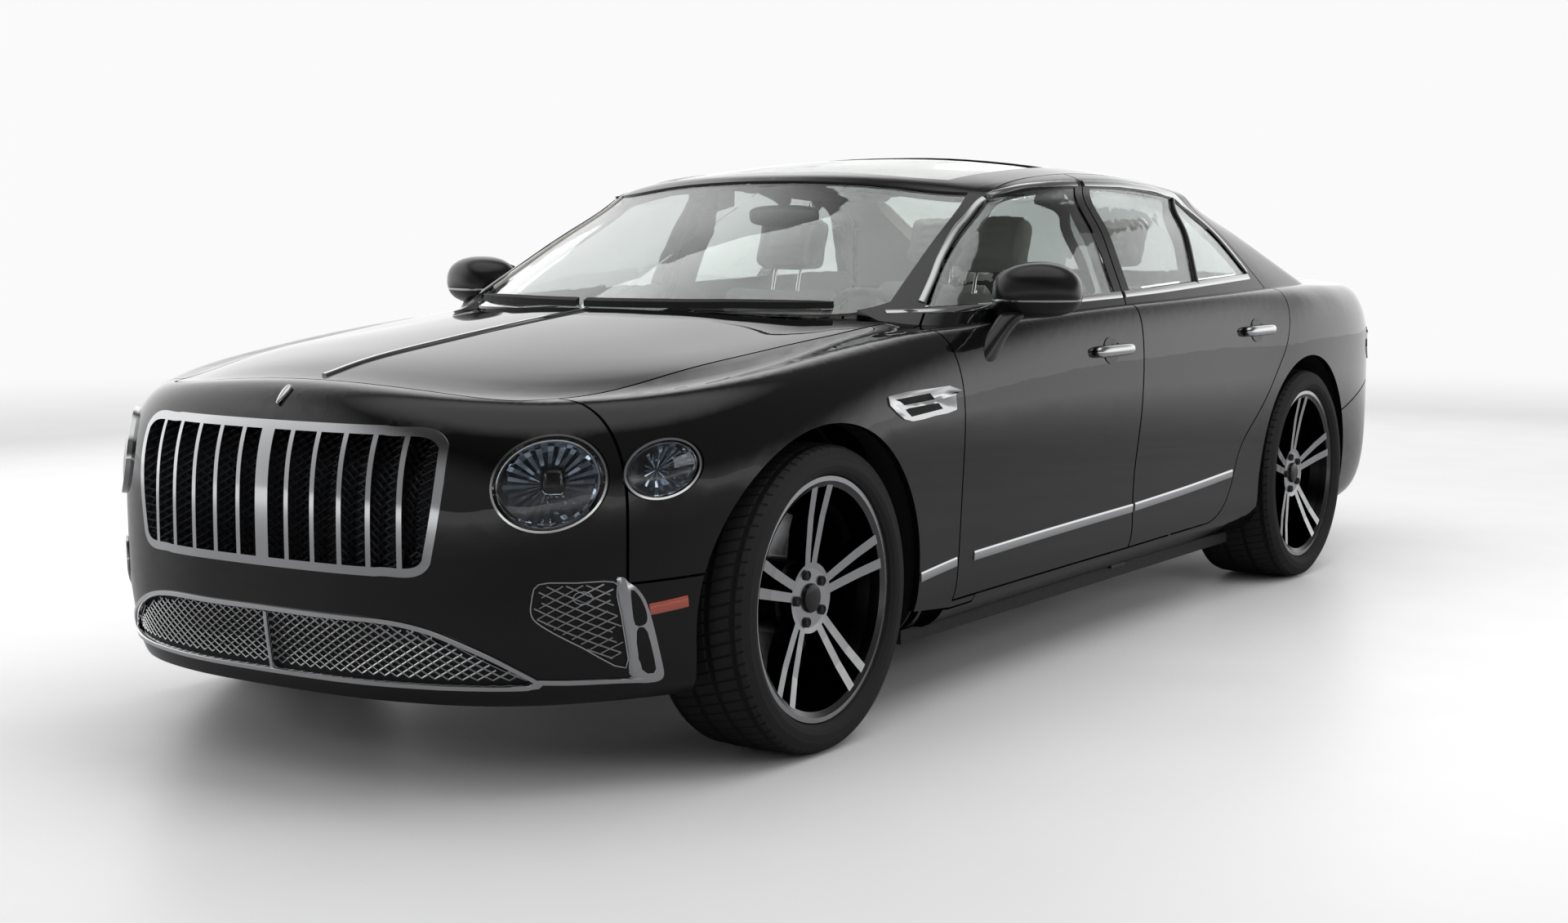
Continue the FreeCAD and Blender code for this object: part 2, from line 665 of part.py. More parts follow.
def make_doors():
    """Four doors and their glass."""
    front = door_blank(front_door_shares).cut(side_cut(front_window_shares))
    front = front.fuse(door_handle(front_handle_y, front_handle_z))
    rear = door_blank(rear_door_shares, front_door_shares)
    for shares in (rear_window_shares, quarter_window_shares):
        rear = rear.cut(side_cut(shares))
    rear = rear.fuse(door_handle(rear_handle_y, rear_handle_z))
    zone = kept("door zone", lambda: plan_cut(door_zone_shares))
    front_pane = pane(side_cut(front_window_shares).common(zone))
    rear_panes = [
        pane(side_cut(shares).common(zone)) for shares in (rear_window_shares, quarter_window_shares)
    ]
    rear_panes = Part.makeCompound(rear_panes)
    for name, shape in (("door_f", front), ("door_r", rear)):
        export(name + "l", shape)
        export(name + "r", mirrored(shape))
    for name, shape in (("glass_f", front_pane), ("glass_r", rear_panes)):
        export(name + "l", shape)
        export(name + "r", mirrored(shape))


# Door mirrors
over_mirrors = 2220.0
mirror_y = -745.0
mirror_z = 1088.0
mirror_half_width = 108.0
mirror_half_depth = 85.0
mirror_half_height = 72.0
mirror_round = 58.0
mirror_foot_from = 900.0
mirror_foot_depth = 105.0
mirror_foot_z = 985.0
mirror_sweep = 22.0


def make_mirrors():
    """A rounded shell, swept back, on a foot that stands on the door's shoulder."""
    turn = math.radians(mirror_sweep)
    reach = (mirror_half_width - mirror_round) * math.cos(turn)
    reach += (mirror_half_depth - mirror_round) * math.sin(turn) + mirror_round
    mirror_x = over_mirrors / 2 - reach
    cap = block(
        mirror_x - mirror_half_width, mirror_x + mirror_half_width,
        mirror_y - mirror_half_depth, mirror_y + mirror_half_depth,
        mirror_z - mirror_half_height, mirror_z + mirror_half_height,
    )
    cap = cap.makeFillet(mirror_round, cap.Edges)
    cap.rotate(V(mirror_x, mirror_y, 0), V(0, 0, 1), mirror_sweep)
    foot = block(
        mirror_foot_from, mirror_x, mirror_y - mirror_foot_depth, mirror_y,
        mirror_foot_z, mirror_z,
    )
    whole = largest(cap.fuse(foot).cut(both_skins(0)))
    export("mirror_l", whole)
    export("mirror_r", mirrored(whole))


def make_lids():
    """Bonnet and boot lid, each one deep sheet of the body's skin."""
    bonnet = sheet(0, lid_wall, plan_cut(bonnet_shares))
    export("bonnet", joined(bonnet))
    zone = plan_cut(boot_lid_shares)
    zone = zone.cut(block(0, far, 0, length, below, rear_lip_z + panel_gap))
    lamp = front_cut(lid_lamp_shares, 0, 1)
    around = house(-panel_gap)
    export("boot_lid", joined(largest(sheet(0, lid_wall, zone, (around, lamp)))))
    export("boot_lamps", both(sheet(0, lid_wall, lamp)))


rear_lip_z = 660.0


def make_glass():
    """Windscreen, rear window and two roof panes."""
    cowl = lower(cowl_depth)
    panes = []
    for shares in (screen_shares, rear_screen_shares):
        panes.append(joined(largest(pane(upper(plan_cut(shares))).cut(cowl))))
    for shares in (front_roof_glass_shares, rear_roof_glass_shares):
        panes.append(joined(pane(upper(plan_cut(shares)))))
    export("fixed_glass", Part.makeCompound(panes))


def upper(shape):
    """The part of a shape above the belt."""
    return shape.common(block(-far, far, -length, length, belt_height, above))


def make_roof():
    """The roof's sheet with its two glass openings."""
    zone = upper(plan_cut(roof_panel_shares))
    holes = plan_cut(front_roof_glass_shares).fuse(plan_cut(rear_roof_glass_shares))
    export("roof", joined(sheet(0, skin, zone, (holes,), house)))


def wheel_hole(y, radius=arch_radius, depth=0):
    """The round space over a wheel, seen from the side."""
    x = arch_inner_x if not depth else depth
    axis = V(1, 0, 0)
    return Part.makeCylinder(radius, far, V(x, y, front_hub_height), axis)


arch_inner_x = 500.0


# Headlamps
inner_lamp_x = 677.5
inner_lamp_z = 705.5
inner_lamp_half_width = 96.5
inner_lamp_half_height = 106.5
outer_lamp_x = 840.5
outer_lamp_z = 730.0
outer_lamp_half_width = 50.5
outer_lamp_half_height = 67.5
tub_rim = 9.0


def inner_lamp(grow=0):
    """All of the nose that lies inside the inner lamp's oval, seen from the front."""
    return oval_cut(
        inner_lamp_x, inner_lamp_z, inner_lamp_half_width + grow, inner_lamp_half_height + grow,
    )


def outer_lamp(grow=0):
    """All of the nose that lies inside the outer lamp's oval, seen from the front."""
    return oval_cut(
        outer_lamp_x, outer_lamp_z, outer_lamp_half_width + grow, outer_lamp_half_height + grow,
    )


def oval_cut(x, z, half_x, half_z):
    """A standing oval drawn out along the car, over its front half."""
    middle = V(x, -length, z)
    curve = Part.Ellipse(middle + V(0, 0, half_z), middle + V(half_x, 0, 0), middle)
    return Part.Face(Part.Wire(curve.toShape())).extrude(V(0, length, 0))


def lamp_holes(gap=0):
    """The openings of the two left headlamps, seen from the front."""
    return inner_lamp(gap).fuse(outer_lamp(gap))


def pillar_foot():
    """The corner between bonnet, door and windscreen that belongs to the body's pillar."""
    return block(0, pillar_foot_x, pillar_foot_y, 0, below, above)


pillar_foot_x = 832.0
pillar_foot_y = -1146.0


def make_wings():
    """Front wings: skin over the wheel from the bonnet's edge down to the sill."""
    wing = sheet(0, skin, side_cut(wing_shares), (
        side_cut(front_door_shares, panel_gap),
        plan_cut(bonnet_shares, panel_gap),
        plan_cut(cowl_shares, panel_gap),
        wheel_hole(front_axle_y),
        lamp_holes(lamp_gap),
        block(0, pillar_foot_x + panel_gap, pillar_foot_y - panel_gap, 0, below, above),
    ))
    export("front_wings", both(largest(wing)))
    place = block(vent_from_x, far, vent_from_y, vent_to_y, vent_z, vent_z + vent_height)
    export("wing_vents", both(sheet(-vent_stand, 0, place)))


vent_stand = 4.0
vent_from_x = 900.0
vent_from_y = -1480.0
vent_to_y = -1130.0
vent_z = 822.0
vent_height = 22.0


def make_front():
    """Front bumper, grille, air intakes and headlamps."""
    grille = front_cut(grille_shares)
    intake = front_cut(intake_shares)
    nose = block(0, far, -length, front_axle_y, below, above)
    bumper = sheet(0, skin, nose, (
        side_cut(wing_shares, panel_gap),
        plan_cut(bonnet_shares, panel_gap),
        wheel_hole(front_axle_y),
        lamp_holes(lamp_gap),
        grille,
        intake,
    ))
    export("front_bumper", joined(largest(bumper)))

    frame = grille.cut(front_cut(grille_shares, -grille_frame))
    bars = [frame]
    for i in range(grille_vanes // 2 + 1):
        x = i * vane_pitch
        half = middle_vane / 2 if i == 0 else vane_width / 2
        bars.append(block(x - half if i else 0, x + half, -length, 0, below, above))
    bars = bars[0].multiFuse(bars[1:]).common(grille)
    export("grille_vanes", joined(sheet(-vane_proud, vane_depth, bars)))
    export("grille_mesh", joined(sheet(vane_depth, vane_depth + mesh_wall, grille)))
    export("bumper_grilles", joined(sheet(intake_depth, intake_depth + mesh_wall, intake)))

    lamps = lamp_holes()
    nose = block(0, far, -length, front_axle_y - clear_of_nose, below, above)
    lamps = lamps.common(nose)
    export("headlamp_lenses", both(sheet(-lamp_proud, lens_wall, lamps)))
    tubs = [
        lamp_tub(inner_lamp(), inner_lamp(-tub_rim), nose),
        lamp_tub(outer_lamp(), outer_lamp(-tub_rim), nose),
    ]
    export("headlamp_housings", both(Part.makeCompound(tubs)))


def lamp_tub(lamp, room, nose):
    """The housing behind one headlamp's lens: a ring wall with a closed back."""
    room = room.common(nose).cut(lower(lamp_depth - tub_wall))
    return sheet(lens_wall, lamp_depth, lamp.common(nose)).cut(room)


clear_of_nose = 300.0
grille_frame = 20.0
grille_vanes = 11
vane_pitch = 78.0
vane_width = 13.0
middle_vane = 24.0
vane_proud = 2.0
vane_depth = 50.0
mesh_wall = 8.0
intake_depth = 14.0


def make_rear():
    """Rear bumper, tail lamps and tailpipe trims."""
    tail = block(0, far, tail_from_y, length, below, rear_lip_z)
    zone = side_cut(rear_split_shares).common(tail)
    bumper = sheet(0, skin, zone, (wheel_hole(rear_axle_y),))
    export("rear_bumper", joined(largest(bumper)))
    export("tail_lamps", both(sheet(-lamp_proud, lamp_depth, tail_lamp())))


def tail_lamp(gap=0):
    """The room of the left tail lamp, which wraps round the car's rear corner."""
    room = block(0, far, tail_lamp_front - gap, length, below, above)
    return front_cut(tail_lamp_shares, gap, 1).common(room)


tail_from_y = 1700.0
tail_lamp_front = 2300.0


# Body shell
cabin_front = -1180.0
cabin_half_width = 855.0
cabin_core_top = 968.0
cabin_rear = 1330.0
shell_front = -1164.0
post_front = -1240.0
post_inner_x = 700.0


def cabin_core():
    """The hollow of the cabin, between the inner faces of its doors and window frames."""
    box = block(0, cabin_half_width, cabin_front, cabin_rear, below, cabin_core_top)
    return box.fuse(house(frame_wall))


def make_body():
    """The body's sides in one piece: sills, pillars, roof rails, quarters and cowl."""
    zone = plan_cut(door_zone_shares, panel_gap)
    screens = [upper(plan_cut(screen_shares)), upper(plan_cut(rear_screen_shares))]
    arch = wheel_hole(rear_axle_y)
    middle = both_skins(0).common(block(0, far, shell_front, cabin_rear, below, above))
    middle = middle.cut(kept("cabin", cabin_core))
    for cutter in screens + [
        side_cut(front_door_shares, panel_gap).common(zone),
        side_cut(rear_door_shares, panel_gap).common(zone),
        side_cut(wing_shares, panel_gap).cut(pillar_foot()),
        plan_cut(bonnet_shares, panel_gap),
        upper(plan_cut(roof_panel_shares)),
        arch,
    ]:
        middle = middle.cut(cutter)
    rear = block(0, far, cabin_rear, length, below, above)
    deck = sheet(0, skin, rear, (
        house(0),
        plan_cut(boot_lid_shares, panel_gap),
        side_cut(rear_split_shares, panel_gap),
        tail_lamp(lamp_gap),
        arch,
    ))
    pillar = sheet(0, frame_wall, rear, (screens[1],), house).cut(lower(skin))
    post = block(post_inner_x, far, post_front, pillar_foot_y, below, above)
    post = lower(post_depth).common(post).cut(kept("cabin", cabin_core))
    lip = block(boot_hinge_x, boot_hinge_x + hinge_depth, boot_hinge_y, boot_hinge_end, below, above)
    edge = block(0, far, 0, boot_edge_y, below, above)
    arm = sheet(lid_wall + seat_gap, lamp_depth, lip)
    stem = sheet(skin, lamp_depth, lip.common(edge))
    shell = middle.multiFuse(
        [deck, pillar, post, plenum(zone), arm, stem] + middle_post() + hinge_seats()
    )
    export("body_sides", joined(shell))


def plenum(zone):
    """The closed box under the foot of the windscreen, which carries it and the wipers."""
    box = plan_cut(cowl_shares).common(block(0, far, -length, 0, scuttle_top, above))
    box = lower(cowl_depth).common(box)
    return box.cut(plan_cut(bonnet_shares, panel_gap)).cut(zone)


def middle_post():
    """The post between a side's two doors, from the sill up to the roof."""
    inner = cabin_half_width - post_gap
    depth = frame_wall + post_gap
    y0, y1 = middle_post_front, middle_post_rear
    stand = block(inner - post_wall, inner, low_post_front, y1, floor_top, post_bend_z)
    foot = block(inner, cabin_half_width + post_wall, y0, y1, floor_top, post_foot_top)
    arm = block(post_head_x, far, y0, y1, belt_height, above)
    arm = sheet(depth, depth + post_wall, arm, (), house)
    head = block(post_head_x, post_head_x + post_head_width, y0, y1, post_head_low, above)
    head = sheet(skin, depth + post_wall, head, (), house)
    return [stand, foot, arm, head]


def hinge_seats():
    """The blocks on a side's two posts that its doors' hinges are screwed to."""
    seats = []
    front_edge = side_cut(front_door_shares, 2 * seat_gap - step_in)
    rear_edge = side_cut(front_door_shares, door_gap + step_in - 2 * seat_gap)
    fore = side_cut(front_door_shares, -hinge_room)
    for z in (low_hinge_z, high_hinge_z):
        seat = block(
            front_hinge_x, front_hinge_x + hinge_depth, pillar_foot_y, cabin_front + far,
            z, z + hinge_height,
        )
        seats.append(largest(seat.common(block(0, far, -length, hinge_end_y, below, above)).cut(front_edge)))
        seat = block(
            cabin_half_width - post_gap, rear_hinge_x, middle_post_front - far, middle_post_rear,
            z, z + hinge_height,
        )
        seats.append(seat.common(rear_edge).cut(fore))
    return seats


middle_post_front = 15.0
low_post_front = -30.0
middle_post_rear = 115.0
post_gap = 30.0
post_wall = 25.0
post_foot_top = 266.0
post_bend_z = 1000.0
post_head_x = 600.0
post_head_width = 55.0
post_head_low = 1300.0
boot_hinge_x = 500.0
boot_hinge_y = 1905.0
boot_edge_y = 1942.0
boot_hinge_end = 2060.0
low_hinge_z = 430.0
high_hinge_z = 790.0
hinge_height = 50.0
front_hinge_x = 870.0
rear_hinge_x = 900.0
hinge_depth = 55.0
hinge_room = 4.0
hinge_end_y = -1050.0
scuttle_top = 912.0


# Floor, bulkheads and front frame
floor_low = 170.0
floor_half_width = 858.0
floor_end = 1000.0
floor_wall = 12.0
front_wall_y = -1235.0
front_wall_top = 900.0
front_wall_half_width = 700.0
scuttle_front = -1430.0
bonnet_seat_x = 640.0
bonnet_seat_y = -1320.0
bonnet_seat_size = 40.0
arm_room = 14.0
tunnel_half_width = 130.0
tunnel_top = 330.0
boot_floor_z = 420.0
boot_floor_wall = 30.0
boot_floor_half_width = 642.0
boot_floor_end = 2420.0
bulkhead_y = 1240.0
bulkhead_wall = 40.0
shelf_z = 925.0
shelf_wall = 15.0
shelf_end = 1700.0
shelf_half_width = 620.0
rail_outer_x = 455.0
rail_width = 75.0
rail_low = 430.0
rail_high = 500.0
rail_rear_rise = 60.0
tray_low = 182.0
tray_high = 198.0
tray_half_width = 420.0
tray_front = -2380.0
beam_low = 430.0
beam_high = 480.0
beam_half_width = 640.0
radiator_half_width = 420.0
radiator_low = 300.0
radiator_high = 800.0
radiator_y = -2470.0
radiator_wall = 50.0
floor_top = low_shares[-1][0] * height


def liner(y, inner_x, low_z):
    """A wheel's round house: a hoop that meets the body's skin, and its inner wall."""
    hoop = wheel_hole(y, liner_radius + liner_wall, inner_x).cut(wheel_hole(y, liner_radius, inner_x))
    disc = wheel_hole(y, liner_radius + liner_wall, inner_x)
    disc = disc.common(block(inner_x, inner_x + liner_wall, -length, length, below, above))
    shape = hoop.fuse(disc)
    return shape.cut(block(0, far, -length, length, below, low_z))


def make_floor():
    """Floor, bulkheads, boot floor, wheel houses and the frame that carries nose and engine."""
    plate = block(0, floor_half_width, front_wall_y, floor_end, floor_low, floor_top)
    kick = block(0, boot_floor_half_width, floor_end - floor_wall, floor_end, floor_low, boot_floor_z)
    boot = block(
        0, boot_floor_half_width, floor_end - floor_wall, boot_floor_end,
        boot_floor_z, boot_floor_z + boot_floor_wall,
    )
    bulkhead = block(
        0, shelf_half_width, bulkhead_y, bulkhead_y + bulkhead_wall, boot_floor_z, shelf_z,
    )
    shelf = block(0, shelf_half_width, bulkhead_y, shelf_end, shelf_z, shelf_z + shelf_wall)
    tunnel = block(0, tunnel_half_width, front_wall_y, floor_end, floor_low, tunnel_top)
    firewall = block(
        0, front_wall_half_width, front_wall_y, cabin_front, floor_low, front_wall_top,
    )
    rail = block(
        rail_outer_x - rail_width, rail_outer_x, -half_length, front_wall_y, rail_low, rail_high,
    )
    tray = block(0, tray_half_width, tray_front, front_wall_y, tray_low, tray_high)
    radiator = block(
        0, radiator_half_width, radiator_y, radiator_y + radiator_wall,
        radiator_low, radiator_high,
    )
    beam = sheet(skin, lamp_depth, block(
        0, beam_half_width, -length, front_axle_y - arch_radius, beam_low, beam_high,
    ))
    front_liner = liner(front_axle_y, rail_outer_x, tray_high).common(lower(skin))
    front_liner = front_liner.cut(block(0, far, front_wall_y, 0, below, above))
    rear_liner = liner(rear_axle_y, boot_floor_half_width, floor_top).common(lower(skin))
    rear_liner = rear_liner.cut(block(cabin_half_width, far, 0, cabin_rear, below, above))
    for y, wall_x in ((front_axle_y, rail_outer_x), (rear_axle_y, boot_floor_half_width)):
        room = block(
            wall_x, wall_x + liner_wall, y - arm_half - arm_room, y + arm_half + arm_room,
            arm_low - arm_room, arm_top + arm_room,
        )
        front_liner, rear_liner = front_liner.cut(room), rear_liner.cut(room)
    front_liner = front_liner.cut(lamp_holes(lamp_gap))
    rail = rail.common(lower(lamp_depth))
    scuttle = block(
        0, front_wall_half_width, scuttle_front, cabin_front, front_wall_top, scuttle_top,
    )
    seat = block(
        bonnet_seat_x, bonnet_seat_x + bonnet_seat_size,
        bonnet_seat_y, bonnet_seat_y + bonnet_seat_size, scuttle_top, above,
    ).common(lower(lid_wall + seat_gap))
    front = firewall.multiFuse([rail, tray, radiator, beam, scuttle, seat, front_liner])
    boot = kick.fuse(boot).cut(rear_liner)
    plate = plate.cut(front).cut(boot).cut(rear_liner)
    tunnel = tunnel.cut(plate).cut(front).cut(boot)
    bulkhead = bulkhead.cut(boot).cut(rear_liner)
    export("underbody", joined(front))
    export("floor_pan", joined(plate))
    export("tunnel", joined(tunnel))
    export("boot_floor", joined(boot))
    export("rear_bulkhead", joined(bulkhead))
    export("parcel_shelf", joined(shelf.cut(bulkhead)))
    export("rear_wheel_houses", both(rear_liner))


# Engine and running gear
engine_half_width = 330.0
engine_front = -2300.0
engine_rear = -1290.0
engine_top = 850.0
frame_low = 225.0
frame_top = 285.0
frame_half_width = 340.0
frame_half_length = 250.0
rear_frame_low = 240.0
rear_frame_top = 350.0
mount_half = 40.0
arm_low = 240.0
arm_top = 280.0
arm_half = 55.0
arm_end_half = 14.0
upper_arm_low = 520.0
upper_arm_top = 540.0
king_pin_x = 755.0
knuckle_half = 22.0
knuckle_depth = 50.0
stub_radius = 30.0
stub_reach = 850.0
bore_gap = 0.05
king_seat = 0.3


def arm(y, low_z, top_z, from_x):
    """A suspension arm that narrows towards the wheel."""
    end = king_pin_x + knuckle_half
    points = [
        V(from_x, y - arm_half, low_z), V(end, y - arm_end_half, low_z),
        V(end, y + arm_end_half, low_z), V(from_x, y + arm_half, low_z),
    ]
    face = Part.Face(Part.makePolygon(points + points[:1]))
    return face.extrude(V(0, 0, top_z - low_z))


def upright(y, low_z, top_z, hub_z, grow=0):
    """A wheel carrier with the stub axle that its wheel turns on."""
    x = king_pin_x + grow
    post = block(x - knuckle_half, x + knuckle_half, y - knuckle_depth, y + knuckle_depth, low_z, top_z)
    stub = Part.makeCylinder(stub_radius, stub_reach - x, V(x, y, hub_z), V(1, 0, 0))
    return post.fuse(stub)


# Brakes
disc_radius = 200.0
disc_wall = 28.0
disc_inset = 52.0
calliper_low = 150.0
calliper_high = 234.0
calliper_half = 95.0
calliper_gap = 5.0
calliper_jaw = 26.0


def calliper(track_x, y, hub_z, way):
    """A brake calliper whose two jaws stand clear of the disc."""
    inner = track_x - disc_inset - calliper_gap
    outer = track_x - disc_inset + disc_wall + calliper_gap
    body = block(
        inner - calliper_jaw, outer + calliper_jaw, y - calliper_half, y + calliper_half,
        hub_z, hub_z + calliper_high,
    )
    ring = wheel_ring(calliper_low, calliper_high, y, hub_z)
    body = body.common(ring)
    slot = wheel_ring(0, disc_radius + calliper_gap, y, hub_z)
    slot = slot.common(block(inner, outer, y - far, y + far, below, above))
    body = body.cut(slot)
    body.rotate(V(0, y, hub_z), V(1, 0, 0), way * calliper_turn)
    web = block(
        king_pin_x - knuckle_half, inner, y - knuckle_depth, y + knuckle_depth,
        hub_z, hub_z + calliper_low + calliper_jaw,
    )
    web.rotate(V(0, y, hub_z), V(1, 0, 0), way * calliper_turn)
    return body.fuse(web)


calliper_turn = 62.0


def wheel_ring(inner, outer, y, z):
    """A round band about a wheel's axis, right across the left side."""
    band = Part.makeCylinder(outer, far, V(0, y, z), V(1, 0, 0))
    if inner:
        band = band.cut(Part.makeCylinder(inner, far, V(0, y, z), V(1, 0, 0)))
    return band


def make_running_gear():
    """Engine, subframes, arms, rear carriers and front knuckles with their callipers."""
    export("engine", block(
        -engine_half_width, engine_half_width, engine_front, engine_rear, frame_top, engine_top,
    ))
    rear_hub_z = front_hub_height + rear_tyre_radius - front_tyre_radius
    front = block(
        0, frame_half_width, front_axle_y - frame_half_length, front_axle_y + frame_half_length,
        frame_low, frame_top,
    )
    rear = block(
        0, frame_half_width, rear_axle_y - frame_half_length, rear_axle_y + frame_half_length,
        rear_frame_low, rear_frame_top,
    )
    posts = []
    for y in (front_axle_y - frame_half_length, front_axle_y + frame_half_length):
        toward = mount_half if y < front_axle_y else -mount_half
        posts.append(block(
            frame_half_width, rail_outer_x, y, y + toward, frame_low, rail_low,
        ))
    for y in (rear_axle_y - frame_half_length, rear_axle_y + frame_half_length):
        toward = mount_half if y < rear_axle_y else -mount_half
        posts.append(block(
            frame_half_width - mount_half, frame_half_width, y, y + toward,
            rear_frame_low, boot_floor_z,
        ))
    front_arms = arm(front_axle_y, arm_low, arm_top, frame_half_width - mount_half)
    front_upper = arm(front_axle_y, upper_arm_low, upper_arm_top, rail_outer_x + liner_wall)
    rear_arms = arm(rear_axle_y, arm_low, arm_top, frame_half_width - mount_half)
    carrier = upright(rear_axle_y, arm_low, upper_arm_low, rear_hub_z)
    carrier = carrier.fuse(calliper(rear_track / 2, rear_axle_y, rear_hub_z, 1))
    half = front.multiFuse([rear, front_arms, rear_arms.cut(carrier)] + posts)
    export("rear_carriers", both(carrier))
    whole = joined(half)
    export("suspension", Part.makeCompound([whole, front_upper, mirrored(front_upper)]))
    knuckle = upright(front_axle_y, arm_top + king_seat, upper_arm_low - king_seat, front_hub_height)
    knuckle = knuckle.fuse(calliper(front_track / 2, front_axle_y, front_hub_height, 1))
    export("knuckle_fl", knuckle)
    export("knuckle_fr", mirrored(knuckle))


# Tyres: places across as shares of half the width, and up the side as shares of its height
lip_inset = 20.0
bead_room = 14.5
tyre_side_shares = [
    (0.90, 0.23), (0.97, 0.33), (1.0, 0.46), (0.985, 0.68), (0.90, 0.90), (0.80, 0.965),
    (0.40, 1.0),
]

# Wheels: the barrel's steps, measured inwards from the front lip and from the rear lip
flange_wall = 12.0
flange_foot = 14.0
front_bead_end = 30.0
rear_bead_end = 16.0
bead_taper = 1.0
front_well = 60.0
rear_well = 40.0
well_depth = 14.0
well_wall = 10.0
front_inner_well = 66.0
rear_inner_well = 36.0
front_inner_step = 34.0
lip_taper = 8.0
lip_overhang = 6.0

# The wheel's face: depths as shares of its depth, and radii as shares of the rim's radius
face_depth = 96.0
face_back_shares = [
    (0.0625, 0.9856836), (0.4791667, 0.928418), (0.8125, 0.6084467), (0.9375, 0.3221188),
    (1, 0.1216893), (1, 0),
]
face_front_shares = [
    (0.4166667, 0), (0.4166667, 0.2576951), (0.3541667, 0.4294918), (0.2291667, 0.7158196),
    (0.0520833, 0.9856836),
]
spoke_pairs = 5
spoke_foot_radius = 60.0
spoke_foot_middle = 12.0
spoke_tip_middle = 34.0
spoke_foot_half = 11.0
spoke_tip_half = 13.0
hub_radius = 86.0
bell_radius = 95.0
bell_reach = 80.0


def tyre(width, radius):
    """A low tyre with rounded shoulders, its beads seated between the rim's flanges."""
    half = width / 2
    low = rim_radius + seat_gap
    bead = half - lip_inset - bead_room
    side = radius - low
    right = [(bead, low), (bead, flange_radius + 2 * seat_gap)]
    right += [(x * half, low + r * side) for x, r in tyre_side_shares]
    return spun([(-x, r) for x, r in right] + right[::-1])


def rim(width):
    """A forged wheel: barrel, ten spokes in five pairs, hub and brake disc, facing +X."""
    lip = width / 2 - lip_inset
    back = -lip
    r = rim_radius
    well = r - well_depth
    inner = well - well_wall
    barrel = spun([
        (lip, flange_radius), (lip - flange_wall, flange_radius), (lip - flange_foot, r),
        (lip - front_bead_end, r - bead_taper), (lip - front_well, well),
        (back + rear_well, well), (back + rear_bead_end, r - bead_taper),
        (back + flange_foot, r), (back + flange_wall, flange_radius), (back, flange_radius),
        (back, r - well_wall), (back + rear_inner_well, inner), (lip - front_inner_well, inner),
        (lip - front_inner_step, well), (lip - lip_taper, r - lip_taper), (lip, r + lip_overhang),
    ])
    outline = face_back_shares + face_front_shares
    dish = spun([(lip - depth * face_depth, share * r) for depth, share in outline])
    blades = [spoke(i, side) for i in range(spoke_pairs) for side in (-1, 1)]
    hub = Part.makeCylinder(hub_radius, 2 * far, V(-far, 0, 0), V(1, 0, 0))
    spokes = dish.common(blades[0].multiFuse(blades[1:] + [hub]))
    bell = Part.makeCylinder(
        bell_radius, lip - bell_reach + disc_inset, V(-disc_inset, 0, 0), V(1, 0, 0),
    )
    disc = Part.makeCylinder(disc_radius, disc_wall, V(-disc_inset, 0, 0), V(1, 0, 0))
    return barrel.multiFuse([spokes, bell, disc])


def spoke(i, side):
    """The outline of one spoke of a pair, drawn right through the wheel."""
    foot, tip = side * spoke_foot_middle, side * spoke_tip_middle
    points = [
        V(-far, foot - spoke_foot_half, spoke_foot_radius), V(-far, tip - spoke_tip_half, rim_radius),
        V(-far, tip + spoke_tip_half, rim_radius), V(-far, foot + spoke_foot_half, spoke_foot_radius),
    ]
    blade = Part.Face(Part.makePolygon(points + points[:1])).extrude(V(2 * far, 0, 0))
    blade.rotate(V(0, 0, 0), V(1, 0, 0), 360 / spoke_pairs * i)
    return blade


def make_wheels():
    """Four tyres and four wheels, each wheel bored for its stub axle."""
    for end, width, radius, track, y in (
        ("f", front_tyre_width, front_tyre_radius, front_track, front_axle_y),
        ("r", rear_tyre_width, rear_tyre_radius, rear_track, rear_axle_y),
    ):
        z = front_hub_height + radius - front_tyre_radius
        bore = Part.makeCylinder(
            stub_radius + bore_gap, stub_reach + seat_gap, V(0, y, z), V(1, 0, 0),
        )
        rubber = moved(tyre(width, radius), track / 2, y, z)
        metal = moved(rim(width), track / 2, y, z).cut(bore)
        for name, shape in (("tyre_", rubber), ("wheel_", metal)):
            export(name + end + "l", shape)
            export(name + end + "r", mirrored(shape))


# Seats
seat_x = 385.0
seat_width = 500.0
cushion_depth = 500.0
cushion_top = 560.0
cushion_low = 430.0
back_wall = 120.0
back_height = 600.0
back_lean = 18.0
back_foot = 500.0
head_half_width = 130.0
head_height = 175.0
head_wall = 90.0
neck_half_width = 60.0
neck_height = 60.0
base_half_width = 200.0
front_seat_y = -330.0
rear_seat_x = 350.0
rear_seat_y = 640.0


def seat(x, y, width):
    """A car seat: cushion on its base, leaning backrest and headrest."""
    half = cushion_depth / 2
    cushion = block(x - width / 2, x + width / 2, y - half, y + half, cushion_low, cushion_top)
    base = block(
        x - base_half_width, x + base_half_width, y - half + back_wall, y + half - back_wall,
        floor_top, cushion_low,
    )
    back = block(x - width / 2, x + width / 2, -back_wall / 2, back_wall / 2, 0, back_height)
    neck = block(
        x - neck_half_width, x + neck_half_width, -back_wall / 4, back_wall / 4,
        back_height, back_height + neck_height,
    )
    head = block(
        x - head_half_width, x + head_half_width, -head_wall / 2, head_wall / 2,
        back_height + neck_height, back_height + neck_height + head_height,
    )
    rest = back.multiFuse([neck, head])
    rest.rotate(V(x, 0, 0), V(1, 0, 0), -back_lean)
    rest.translate(V(0, y + half, back_foot))
    return cushion.multiFuse([base, rest])


